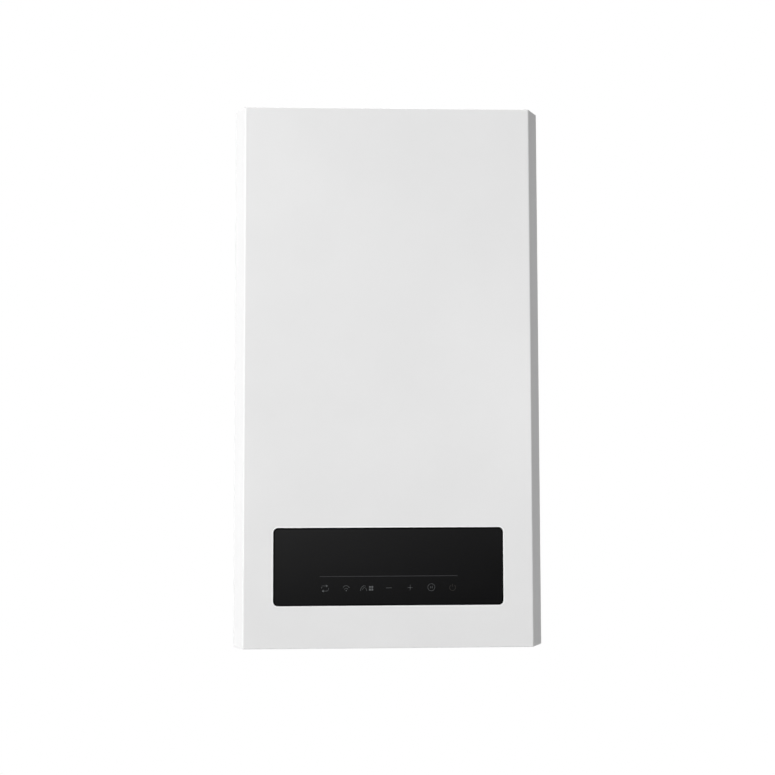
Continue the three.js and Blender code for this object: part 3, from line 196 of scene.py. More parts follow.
def warm_metal(n, color, dull, rough):
    """Copper or brass with patches of dull oxide."""
    patch = n.ranged(n.noise(34, 5, 0.6), 0.42, 0.66, 0, 1)
    n.set(Base_Color=n.mixed(patch, color, dull), Metallic=1.0)
    n.set(Roughness=n.ranged(patch, 0, 1, rough - 0.06, rough + 0.16))
    n.bumped((n.streaks((700, 700, 60), 3, 0.6), 0.08, 0.00008), (n.noise(60, 2), 0.05, 0.0004))


def moulded(n, color, rough, grain=2200, depth=0.00006):
    """Moulded plastic or rubber with the fine texture of its tool."""
    n.set(Base_Color=n.mixed(n.clouds(26, 3), shade(color, 0.93), shade(color, 1.05)))
    n.set(Roughness=n.clouds(160, 3, rough - 0.05, rough + 0.07))
    n.bumped((n.noise(grain, 3, 0.6), 0.3, depth))


def printed_glass(n):
    """Toughened glass printed black on its back: a clean gloss with a trace of handling."""
    smear = n.ranged(n.noise(16, 4, 0.6), 0.4, 0.7, 0, 1)
    n.set(Base_Color=n.mixed(smear, srgb(7, 7, 8), srgb(9, 9, 10)))
    n.set(Roughness=n.ranged(smear, 0, 1, 0.045, 0.075), Specular_IOR_Level=0.5)
    n.bumped((n.noise(5, 1), 0.02, 0.0006))


def clear_glass(n, tint):
    n.set(Base_Color=n.mixed(n.noise(30, 2), tint, shade(tint, 0.96)))
    n.set(Roughness=n.clouds(60, 3, 0.03, 0.07), Transmission_Weight=1.0, IOR=1.45)


def printed(n, color, rough=0.45, gloss=0.2):
    """Screen print: a matt film with a fine mottle."""
    mottle = n.clouds(900, 3)
    n.set(Base_Color=n.mixed(mottle, shade(color, 0.94), shade(color, 1.04)))
    n.set(Roughness=n.ranged(mottle, 0, 1, rough, rough + 0.1), Specular_IOR_Level=gloss)


def pressed_fibre(n):
    """Insulation board: short strands over a blotched ground."""
    pale, paler = srgb(206, 200, 184), srgb(232, 228, 216)
    n.set(Base_Color=n.mixed(n.noise(40, 3), pale, paler), Roughness=0.95)
    n.bumped((n.streaks((420, 420, 120), 5, 0.7), 0.6, 0.0006), (n.noise(220, 3), 0.4, 0.0005))


def tracked_board(n, mask, track):
    """Solder resist with the tracks showing through as a paler maze."""
    place = n.add("ShaderNodeMapping", Vector=n.place, Rotation=(TAU / 4, 0, 0)).outputs[0]
    lines = n.add("ShaderNodeTexBrick", {"offset": 0.37, "squash": 1.0}, Vector=place, Scale=140.0,
                  Mortar_Size=0.06).outputs["Fac"]
    n.set(Base_Color=n.mixed(lines, mask, track), Roughness=n.clouds(300, 2, 0.34, 0.44))
    n.bumped((lines, 0.3, 0.00005))


RECIPES = {
    "white_paint": (powder_coat, srgb(232, 232, 232)),
    # a pure white, glossier copy of the casing paint: painted highlight along the window's cut edge
    "window_highlight_paint": (powder_coat, srgb(255, 255, 255), 0.3),
    "red_paint": (powder_coat, srgb(178, 32, 24), 0.36),
    "galvanised_steel": (galvanised,),
    "stainless_steel": (drawn_metal, srgb(184, 186, 189), 0.33),
    "bright_steel": (drawn_metal, srgb(214, 215, 216), 0.24, (300, 300, 300), 0.97),
    "cast_aluminium": (cast_metal, srgb(196, 198, 200)),
    "copper": (warm_metal, srgb(214, 138, 96), srgb(150, 88, 60), 0.3),
    "brass": (warm_metal, srgb(214, 184, 118), srgb(160, 128, 72), 0.32),
    "black_plastic": (moulded, srgb(34, 35, 37), 0.5),
    "grey_plastic": (moulded, srgb(112, 116, 120), 0.52),
    "red_plastic": (moulded, srgb(196, 30, 26), 0.42),
    "white_plastic": (moulded, srgb(222, 222, 218), 0.45),
    "yellow_plastic": (moulded, srgb(222, 178, 40), 0.45),
    "blue_plastic": (moulded, srgb(36, 84, 150), 0.45),
    # near-black pads standing for openings that aren't cut: painted shade
    "painted_slot_shade": (moulded, srgb(18, 18, 19), 0.7),
    "rubber": (moulded, srgb(30, 30, 32), 0.78, 900, 0.00012),
    "ceramic": (moulded, srgb(236, 230, 212), 0.28, 500, 0.00003),
    "black_glass": (printed_glass,),
    "sight_glass": (clear_glass, srgb(238, 244, 242)),
    "fibre_board": (pressed_fibre,),
    "circuit_board": (tracked_board, srgb(18, 86, 52), srgb(44, 128, 78)),
    "dark_board": (tracked_board, srgb(20, 23, 26), srgb(38, 44, 48)),
    "icon_print": (printed, srgb(82, 84, 85)),
    "dim_print": (printed, srgb(46, 42, 40)),
    # near-black and nearly without gloss: painted shade of the gap between the glass and the window
    "glass_edge_shade": (printed, srgb(3, 3, 3), 0.8, 0.02),
    "line_print": (printed, srgb(44, 44, 46)),
    "dial_white": (printed, srgb(228, 228, 224)),
    "dial_black": (printed, srgb(28, 28, 30)),
    "dial_green": (printed, srgb(60, 140, 70)),
    "dial_red": (printed, srgb(190, 40, 34)),
}


def made(name):
    n = Nodes(name)
    recipe, *values = RECIPES[name]
    recipe(n, *values)
    return n.material


FINISH = {name: made(name) for name in RECIPES}

# ---- shapes --------------------------------------------------------------------------------


def basis(axis):
    """The turn that brings +Z onto axis."""
    z = Vector(axis).normalized()
    x = Vector(RIGHT) if abs(z.x) < 0.9 else Vector(BACK)
    y = z.cross(x).normalized()
    return Matrix((y.cross(z), y, z)).transposed()


def rounded_path(corners, bend, steps):
    """The corners' line with each corner rounded to the bend radius."""
    corners = [Vector(c) for c in corners]
    path = [corners[0]]
    for before, corner, after in zip(corners, corners[1:], corners[2:]):
        inward, outward = (before - corner).normalized(), (after - corner).normalized()
        half = inward.angle(outward) / 2
        centre = corner + (inward + outward).normalized() * (bend / math.sin(half))
        start = corner + inward * (bend / math.tan(half)) - centre
        axis = outward.cross(inward).normalized()
        for i in range(steps + 1):
            share = (math.pi - 2 * half) * i / steps
            path.append(centre + Matrix.Rotation(share, 3, axis) @ start)
    path.append(corners[-1])
    return path


def evenly(path, step):
    """Points one step apart along a line."""
    points, spare = [path[0]], 0
    for a, b in zip(path, path[1:]):
        length = (b - a).length
        while spare + step <= length:
            spare += step
            points.append(a.lerp(b, spare / length))
        spare -= length
    points.append(path[-1])
    return points


def arc(a, b, radius, first, last, steps):
    """Points along an arc about (a, b), the angles in degrees."""
    angles = [math.radians(first + (last - first) * i / steps) for i in range(steps + 1)]
    return [(a + radius * math.cos(t), b + radius * math.sin(t)) for t in angles]


def rounded_rect(a, b, width, height, radius, steps=7):
    """Outline of a rectangle about (a, b) with round corners."""
    across, up = width / 2 - radius, height / 2 - radius
    corners = ((1, -1, 270), (1, 1, 0), (-1, 1, 90), (-1, -1, 180))
    return [point for sa, sb, first in corners
            for point in arc(a + sa * across, b + sb * up, radius, first, first + 90, steps)]


def circle(a, b, radius, sides):
    return arc(a, b, radius, 0, 360, sides)[:-1]


def hexagon(flat):
    """Radius at each angle of a hexagon that far from its middle to its flats."""
    return lambda angle: flat / math.cos(angle % (math.pi / 3) - math.pi / 6)


def nut(flat):
    """Hexagon with its corners turned off, for the end rings of a nut."""
    corner = hexagon(flat)
    return lambda angle: min(corner(angle), 1.07 * flat)


def lobed(radius, depth, count):
    return lambda angle: radius + depth * math.cos(count * angle)


AXIS_PLACE = {
    "x": lambda a, b, along: Vector((along, a, b)),
    "y": lambda a, b, along: Vector((a, along, b)),
    "z": lambda a, b, along: Vector((a, b, along)),
}
BEVEL_ANGLE = 0.6  # edges that turn by less, in radians, stay as they are
RIPPLE_STEP = 0.4
SMOOTH_ANGLE = 34
CUT_ANGLE = 28


class Shape:
    """Closed shells in casing millimetres, gathered into one piece."""

    def __init__(self):
        self.mesh = bmesh.new()

    def _take(self, part, ink):
        part.normal_update()
        bmesh.ops.recalc_face_normals(part, faces=part.faces)
        if part.calc_volume(signed=True) < 0:
            bmesh.ops.reverse_faces(part, faces=part.faces)
        for face in part.faces:
            face.material_index = ink
        held = bpy.data.meshes.new("held")
        part.to_mesh(held)
        part.free()
        self.mesh.from_mesh(held)
        bpy.data.meshes.remove(held)
        return self

    def _skin(self, rings, loop, ink, bevel=0, steps=2):
        """Faces between rings of points, of which a ring may be one point on the axis."""
        part = bmesh.new()
        rings = [[part.verts.new(p) for p in ring] for ring in rings]
        pairs = list(zip(rings, rings[1:])) + ([(rings[-1], rings[0])] if loop else [])
        for low, high in pairs:
            count = max(len(low), len(high))
            for i in range(count):
                j = (i + 1) % count
                corners = [low[i % len(low)], low[j % len(low)],
                           high[j % len(high)], high[i % len(high)]]
                part.faces.new([c for k, c in enumerate(corners) if c not in corners[:k]])
        if not loop:
            for ring in (rings[0], rings[-1]):
                if len(ring) > 2:
                    part.faces.new(ring)
        if bevel:
            bmesh.ops.recalc_face_normals(part, faces=part.faces)
            part.normal_update()
            edges = [e for e in part.edges if e.calc_face_angle(0) > BEVEL_ANGLE]
            bmesh.ops.bevel(
                part, geom=edges, offset=bevel, segments=steps, profile=0.5,
                affect="EDGES", clamp_overlap=True)
        return self._take(part, ink)

    def turned(self, base, axis, rows, sides, ink=0):
        """Rows of (radius, height) about an axis; a radius may be a function of the angle.

        Rows that both start and end off the axis close into a ring.
        """
        turn, base = basis(axis), Vector(base)
        rings = []
        for radius, height in rows:
            if radius == 0:
                rings.append([base + turn @ Vector((0, 0, height))])
                continue
            ring = []
            for i in range(sides):
                a = TAU * i / sides
                r = radius(a) if callable(radius) else radius
                ring.append(base + turn @ Vector((r * math.cos(a), r * math.sin(a), height)))
            rings.append(ring)
        return self._skin(rings, rows[0][0] != 0 and rows[-1][0] != 0, ink)

    def loft(self, axis, rings, ink=0, bevel=0, steps=2, loop=False):
        """Outlines in the plane across axis, each at its own height along it."""
        place = AXIS_PLACE[axis]
        rings = [[place(a, b, h) for a, b in points] for points, h in rings]
        return self._skin(rings, loop, ink, bevel, steps)

    def prism(self, axis, points, low, high, bevel=0, steps=2, ink=0):
        return self.loft(axis, [(points, low), (points, high)], ink, bevel, steps)

    def frame(self, axis, outer, inner, low, high):
        """A prism with a hole: both outlines have the same number of points."""
        rings = [(outer, low), (outer, high), (inner, high), (inner, low)]
        return self.loft(axis, rings, loop=True)

    def box(self, low, high, bevel=0.6, steps=2, ink=0):
        points = [(low[0], low[1]), (high[0], low[1]), (high[0], high[1]), (low[0], high[1])]
        return self.prism("z", points, low[2], high[2], bevel, steps, ink)

    def tube(self, corners, radius, bend, sides, steps, ripple=None):
        """A round bar along a path; ripple gives what its radius gains along the way."""
        path = rounded_path(corners, bend, steps)
        if ripple:
            path = evenly(path, RIPPLE_STEP)
        rings, travelled = [], 0
        heading = (path[1] - path[0]).normalized()
        side = basis(heading) @ Vector(RIGHT)
        for i, place in enumerate(path):
            before, after = path[max(i - 1, 0)], path[min(i + 1, len(path) - 1)]
            onward = (after - before).normalized()
            side = heading.rotation_difference(onward) @ side
            heading = onward
            up = heading.cross(side).normalized()
            travelled += (place - before).length
            r = radius + ripple(travelled) if ripple else radius
            rings.append([place + side * a + up * b for a, b in circle(0, 0, r, sides)])
        return self._skin(rings, False, ink=0)

    def screws(self, places, axis, radius=3.2, height=2.2, ink=0):
        """Pan heads with a hexagon socket, sunk a little into what they hold."""
        r, h = radius, height
        rows = [(r, -0.3), (r, 0.35 * h), (0.86 * r, 0.8 * h), (0.6 * r, h),
                (hexagon(0.4 * r), h), (hexagon(0.38 * r), 0.4 * h), (0, 0.35 * h)]
        for place in places:
            self.turned(place, axis, rows, 24, ink)
        return self

    def hex_screws(self, places, axis, radius=3.2, height=3, ink=0):
        """Hexagon heads on their flanges, with a dished top."""
        r, h, flats = radius, height, hexagon(0.92 * radius)
        rows = [(1.35 * r, -0.3), (1.35 * r, 0.2 * h), (1.18 * r, 0.3 * h), (flats, 0.32 * h),
                (flats, 0.9 * h), (0.86 * r, h), (0.5 * r, h), (0.42 * r, 0.8 * h), (0, 0.8 * h)]
        for place in places:
            self.turned(place, axis, rows, 24, ink)
        return self

    def ribbon(self, points, width, low, high, closed=False):
        """A flat stroke on a face that looks along Y, drawn in (x, z)."""
        points = [Vector(p) for p in points]
        lefts, rights = [], []
        for i, p in enumerate(points):
            before = points[i - 1] if closed or i else p
            after = points[(i + 1) % len(points)] if closed or i < len(points) - 1 else p
            along = (after - before).normalized()
            across = Vector((-along.y, along.x)) * (width / 2)
            lefts.append(tuple(p + across))
            rights.append(tuple(p - across))
        if closed:
            return self.frame("y", lefts, rights, low, high)
        return self.prism("y", lefts + rights[::-1], low, high)

    def around(self, part, count, centre, axis, ink=0, start=0):
        """Copies of a part that is drawn beside the origin, set evenly round a centre."""
        for k in range(count):
            turn = Matrix.Rotation(math.radians(start + 360 * k / count), 4, axis)
            copy = part.mesh.copy()
            copy.transform(Matrix.Translation(centre) @ turn)
            self._take(copy, ink)
        part.mesh.free()
        return self

    def done(self, name, inks, node=None, body="chassis", smooth=SMOOTH_ANGLE, weighted=True):
        """The piece itself: its mesh in the row frame, its finishes and the body it rides on."""
        self.mesh.transform(Matrix.Translation((0, 0, -LIFT * MM)) @ Matrix.Scale(MM, 4))
        mesh = bpy.data.meshes.new(name)
        self.mesh.to_mesh(mesh)
        self.mesh.free()
        inks = [inks] if isinstance(inks, str) else inks
        for ink in inks:
            mesh.materials.append(FINISH[ink])
        obj = bpy.data.objects.new(name, mesh)
        bpy.context.scene.collection.objects.link(obj)
        smoothed(obj, smooth, weighted)
        if body:
            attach(obj, body)
        if node:
            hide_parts(node)
        return obj


def smoothed(obj, angle, weighted=True):
    """Smooth faces, sharp where they meet at more than the angle."""
    obj.data.shade_smooth()
    obj.data.set_sharp_from_angle(angle=math.radians(angle))
    if weighted:
        obj.modifiers.new("normals", "WEIGHTED_NORMAL").keep_sharp = True


def carve(body, ink, *shapes):
    """Cuts the shapes out of a finished piece."""
    tools = [shape.done("tool", ink, body=None) for shape in shapes]
    body.modifiers.clear()
    for tool in reversed(tools):
        cut = body.modifiers.new("cut", "BOOLEAN")
        cut.operation, cut.solver, cut.object = "DIFFERENCE", "EXACT", tool
    bpy.context.view_layer.update()
    shown = body.evaluated_get(bpy.context.evaluated_depsgraph_get())
    body.data = bpy.data.meshes.new_from_object(shown)
    body.modifiers.clear()
    smoothed(body, CUT_ANGLE)
    for tool in tools:
        bpy.data.objects.remove(tool)


NODE_SLOT = {part["node"]: part["material_slot"] for part in frame["record"]["subparts"]}
DRESSED_EDGE = 0.4 * MM


def dress(node):
    """Gives a CAD node its finish and small turned edges, its flat faces kept flat."""
    obj = frame["nodes"][node]
    obj.data.materials.clear()
    obj.data.materials.append(FINISH[NODE_SLOT[node]])
    normals = obj.data.attributes.get("custom_normal")
    if normals:
        obj.data.attributes.remove(normals)
    obj.data.shade_flat()
    obj.modifiers.new("weld", "WELD").merge_threshold = 2e-5
    flat = obj.modifiers.new("flat", "DECIMATE")
    flat.decimate_type, flat.angle_limit = "DISSOLVE", math.radians(0.6)
    edge = obj.modifiers.new("edge", "BEVEL")
    edge.width, edge.segments, edge.angle_limit = DRESSED_EDGE, 2, math.radians(32)
    edge.miter_outer = "MITER_ARC"


# ---- front cover and touch glass -----------------------------------------------------------

COVER_SIDE, COVER_FACE = 199.5, -300
CHAMFER_WIDTH, CHAMFER_DEPTH = 14, 24
SHEET = 1.2
WINDOW_Z = 103.5
GLASS_FRONT = -299.8
PRINT = (GLASS_FRONT - 0.05, GLASS_FRONT + 0.02)
ICON_Z, ICON_MIDDLE, ICON_PITCH = 76.5, 0.2, 27.25


def about_window(width, height, radius, steps=9):
    return rounded_rect(0, WINDOW_Z, width, height, radius, steps)


def cover_outline(inset, rear):
    """The cover's plan, drawn inset from its outer face."""
    fold = math.atan2(CHAMFER_WIDTH, CHAMFER_DEPTH)
    side = COVER_SIDE - inset
    right = [
        (side, rear),
        (side, COVER_FACE + CHAMFER_DEPTH + inset * math.tan(fold / 2)),
        (COVER_SIDE - CHAMFER_WIDTH - inset * math.tan((TAU / 4 - fold) / 2), COVER_FACE + inset),
    ]
    return [(-x, y) for x, y in reversed(right)] + right


def make_front_cover():
    shell = Shape().prism("z", cover_outline(0, -230), 0, 700, 1.5, 4)
    shell = shell.done("front_cover_sheet", "white_paint", "front_cover", "cover")
    hollow = Shape().prism("z", cover_outline(SHEET, -225), SHEET, 700 - SHEET, 0.5)
    rear = Shape().box((-205, -238, -5), (205, -220, 705), 0)
    window = Shape().prism("y", about_window(298.2, 102.6, 7.6), -301, -296)
    hole = Shape().turned((0, -250, -1), UP, [(0, 0), (3.2, 0), (2.8, 1.4), (2.8, 3), (0, 3)], 28)
    carve(shell, "white_paint", hollow, rear, window, hole)
    outer, inner = about_window(298.1, 102.5, 7.55), about_window(295, 99.4, 6)
    # the lip round the window takes the pure white copy of the paint, a painted highlight on the
    # cut edge
    Shape().frame("y", outer, inner, -299.98, -297.4).done(
        "cover_window_lip", "window_highlight_paint", body="cover", weighted=False)
    tongues = Shape()
    for x in (-100, 100):
        tongues.prism("x", [
            (-262, 694), (-228.4, 694), (-228, 694.4), (-228, 694.8), (-228.4, 695.2),
            (-252, 695.2), (-252, 699.2), (-262, 699.2)], x - 15, x + 15, 0.25)
        for dx in (-8, 8):
            tongues.turned((x + dx, -257, 694.1), DOWN, [(2.2, 0), (1.9, 0.5), (0, 0.8)], 20)
    tongues.done("cover_tongues", "white_paint", body="cover")


def icon_x(place):
    """Middle of a printed mark, counted from -3 at the left to 3 at the right."""
    return ICON_MIDDLE + ICON_PITCH * place


def make_touch_glass():
    # the glass's rim outside its inner black face keeps the near-black matt ink, painted shade of
    # the gap round the glass
    edges = ((0, -296.8), (0, -299.3), (0.5, -299.6), (1.2, GLASS_FRONT + 0.06))
    glass = Shape().loft("y", [
        (about_window(293.6 - d, 98 - d, 5.3 - d / 2, 10), y) for d, y in edges], 1)
    glass.prism("y", about_window(291, 95.4, 4, 10), -299, GLASS_FRONT)
    glass.done("touch_panel_glass", ["black_glass", "glass_edge_shade"], "touch_glass",
               "control_box", smooth=20)
    make_panel_marks()


def mark(name, place, strokes, patches=(), ink="icon_print"):
    """One printed mark: lines of their own widths and filled patches, about its middle."""
    def moved(points):
        return [(icon_x(place) + a, ICON_Z + b) for a, b in points]

    shape = Shape()
    for width, points in strokes:
        closed = points[0] == points[-1]
        shape.ribbon(moved(points[:-1] if closed else points), width, *PRINT, closed)
    for points in patches:
        shape.prism("y", moved(points), *PRINT)
    shape.done(name, ink, body="control_box", weighted=False)


def make_panel_marks():
    """The line and the seven marks printed on the glass, left to right."""
    rule = Shape().ribbon([(-88, 91.2), (88.4, 91.4)], 0.85, *PRINT)
    rule.done("panel_rule", "line_print", body="control_box", weighted=False)
    over = [(-4, -0.9), *arc(-2, 0.9, 2, 180, 90, 6), (1.6, 2.9)]
    under = [(4.6, 0.2), *arc(2.6, -1.6, 2, 0, -90, 6), (-1.3, -3.6)]
    heads = [(1.6, 1.3), (4.3, 2.9), (1.6, 4.5)], [(-1.3, -2), (-4, -3.6), (-1.3, -5.2)]
    mark("reset_mark", -3, [(0.42, over), (0.42, under)], heads)
    waves = [(0.42, arc(0, -1.2, 4.2, 18, 162, 12)), (0.42, arc(0, -2.3, 2.2, 12, 168, 10))]
    mark("wireless_mark", -2, waves, [circle(0, -3.3, 0.7, 18)])
    tap = [
        [(-8.8, -3.6), (-8.6, -1.4), (-7.2, 1.3), (-4.7, 2.9), (-2.4, 2.2)],
        [(-6.5, -2.6), (-5.7, -0.6), (-3.4, 1)],
        [(-2.4, 0.2), (-0.9, -3.5)],
    ]
    mark("hot_water_mark", -1, [(0.48, line) for line in tap])
    fins = [rounded_rect(a, b, 2.4, 2.5, 0.7, 4) for a in (3.1, 6.1) for b in (-2.1, 1.2)]
    mark("heating_mark", -1, [], fins)
    minus = [(-ICON_PITCH - 3.7, -0.1), (-ICON_PITCH + 3.7, -0.1)]
    plus = [[(-3.3, 0), (3.3, 0)], [(0, 0.18), (0, 3.6)], [(0, -0.18), (0, -3.6)]]
    mark("level_marks", 1, [(0.46, minus), *((0.36, line) for line in plus)])
    bars = [[(a, -1), (a, 1.9)] for a in (-1.1, 1.1)]
    dial = circle(0, 0.3, 4.5, 30)
    mark("menu_mark", 2, [(0.42, [*dial, dial[0]]), *((0.5, bar) for bar in bars)])
    power = [arc(0, -0.2, 3.8, 125, 415, 24), [(0, 0.8), (0, 4.2)]]
    mark("power_mark", 3, [(0.42, line) for line in power], ink="dim_print")


# ---- casing --------------------------------------------------------------------------------


def make_casing_details():
    for side, name in ((-1, "left"), (1, "right")):
        fixings = Shape()
        fixings.screws([(side * 189, -237.2, z) for z in (52, 350, 648)], FRONT)
        fixings.done(f"{name}_flange_screws", "bright_steel")
    corners = [(x, y, 2.2) for x in (-189, 189) for y in (-40, -228)]
    under = Shape().screws(corners, DOWN, 3)
    under.done("underside_screws", "bright_steel")
    over = Shape().screws([(x, y, 700) for x in (-186, 186) for y in (-30, -222)], UP, 3)
    over.screws([(x, -237.2, 689) for x in (-60, 60)], FRONT, 3)
    over.done("top_panel_screws", "bright_steel")

    swages = Shape()
    for z in (120, 250, 380, 510):
        for x in (-95, 95):
            points = rounded_rect(x, z, 150, 16, 7.9, 6)
            inner = rounded_rect(x, z, 145, 11, 5.4, 6)
            swages.loft("y", [(points, -12.1), (points, -11.8), (inner, -9.4)])
    swages.done("rear_panel_swages", "galvanised_steel")
    places = [(x, -12, z) for x in (-150, 0, 150) for z in (40, 185, 445, 600)]
    rear = Shape().hex_screws(places, BACK)
    rear.done("rear_panel_screws", "bright_steel")

    seats = Shape()
    for x in (-110, -50, 50, 110):
        seats.turned((x, 0, 644), FRONT, [
            (4.3, 2.4), (7.2, 2.4), (7.6, 2.7), (5, 3.3), (4.3, 3.3)], 32)
    seats.done("bracket_hole_rims", "galvanised_steel")

    screw = Shape().turned((0, -250, 0), UP, [
        (0, -1.3), (hexagon(1.5), -1.4), (hexagon(1.6), -3), (2.3, -3.2),
        (lobed(3.7, 0.1, 18), -3.1), (lobed(4.3, 0.15, 18), -2.5), (lobed(4.3, 0.15, 18), -0.9),
        (4.2, -0.3), (2.2, -0.3), *[(2.3 if i % 2 else 1.9, 0.2 + 0.45 * i) for i in range(24)],
        (1.4, 12), (0, 12)], 72)
    screw.done("cover_thumb_screw", "stainless_steel", "cover_screw", "cover")

    grip, flats, end = lobed(10.05, 0.35, 16), hexagon(9.9), nut(9.9)
    gland = Shape().turned((165, -190, 0), UP, [
        (4.5, -13), (6.2, -13), (8.2, -12.4), (grip, -10.4), (grip, -6), (9.4, -5.2), (end, -5),
        (flats, -4.4), (flats, 1.3), (end, 1.9), (8.2, 1.9), (8.2, 3.7), (end, 3.7), (flats, 4.2),
        (flats, 8.4), (end, 9), (8.2, 9), (8.2, 9.8), (7.6, 10.3), (8.2, 10.8), (7.6, 11.4),
        (8.2, 12), (7.6, 13), (4.5, 13)], 96)
    gland.done("cable_gland_body", "black_plastic", "cable_gland")


# ---- flue collar, duct and fan -------------------------------------------------------------

FLUE_Y = -166
FLUE_FOOT = rounded_rect(0, FLUE_Y - 2.65, 72, 54.7, 5, 6)
SWITCH_X, SWITCH_Z = 118, 598  # air pressure switch
HOSE_Z = 676


def make_flue():
    collar = Shape().turned((0, FLUE_Y, 0), UP, [
        (48, 702.6), (63.2, 702.6), (64, 703.2), (64, 704.4), (63.4, 705.1), (53, 705.1),
        (51, 705.7), (50, 707.2), (50, 711.6), (50, 712.2), (49.5, 712.6), (49.5, 713.6), (50, 714),
        (50, 719.8), (49.5, 720.7), (48.8, 721), (48, 720.4)], 96)
    rib = Shape().prism("x", [(49.4, 704.9), (57.5, 704.9), (49.4, 710.5)], -0.9, 0.9, 0.2)
    collar.around(rib, 12, (0, FLUE_Y, 0), "Z", start=15)
    collar.screws([(x, y, 705.1) for x, y in arc(0, FLUE_Y, 59, 45, 315, 3)], UP, ink=1)
    collar.done("flue_collar", ["cast_aluminium", "bright_steel"], "flue_adaptor")
    seal = Shape().turned((0, FLUE_Y, 0), UP, [
        (52, 700.6), (52.3, 700.3), (61.7, 700.3), (62, 700.6), (62, 702), (61.7, 702.3),
        (52.3, 702.3), (52, 702)], 80)
    seal.done("flue_collar_seal", "rubber", "flue_gasket")

    duct = Shape().turned((0, FLUE_Y, 0), UP, [
        (28.8, 641.3), (30, 641.3), (30, 644), (30, 704.2), (30, 704.6), (29.3, 705), (29.3, 707.4),
        (30, 707.8), (30, 714.4), (29.6, 715), (28.8, 715)], 72)
    duct.frame("z", FLUE_FOOT, circle(0, FLUE_Y, 29.4, len(FLUE_FOOT)), 641.3, 642.8)
    duct.turned((0, FLUE_Y, HOSE_Z), RIGHT, [
        (0, 28), (3.9, 28), (3.9, 30.6), (2.8, 31.4), (3.5, 34), (2.8, 34.2), (3.5, 38),
        (2.8, 38.2), (2.9, 41.4), (2.4, 42), (1.6, 42), (1.6, 36), (0, 36)], 24)
    duct.screws([(x, y, 642.8) for x in (-31, 31) for y in (-190, -147)], UP, 2.8, ink=1)
    duct.done("exhaust_pipe", ["cast_aluminium", "bright_steel"], "exhaust_duct")

    run = [(42.3, FLUE_Y, HOSE_Z), (SWITCH_X, FLUE_Y, HOSE_Z), (SWITCH_X, FLUE_Y, 642.3)]
    hose = Shape().tube(run, 4, 22, 20, 12)
    clip = [(3.9, 2), (4.6, 2.2), (4.8, 3.4), (4.8, 5.6), (4.6, 6.8), (3.9, 7)]
    hose.turned((42.6, FLUE_Y, HOSE_Z), RIGHT, clip, 28, 1)
    hose.turned((SWITCH_X, FLUE_Y, 642.6), UP, clip, 28, 1)
    hose.done("pressure_switch_hose", ["rubber", "bright_steel"], "pressure_hose")


FAN_X, FAN_Z = -51, 575


def scroll_point(share, inset):
    """A point of the fan's spiral wall, which opens as share goes from 0 to 1."""
    angle = math.radians(70 + share * 290)
    radius = 58 + share * 24 - inset
    return FAN_X + radius * math.cos(angle), FAN_Z + radius * math.sin(angle)


def scroll(inset, mouth):
    wall = [scroll_point(1 - i / 48, inset) for i in range(49)]
    return [(FAN_X + 82 - inset, FAN_Z + mouth), *wall, (FAN_X + 20 + inset, FAN_Z + mouth)]


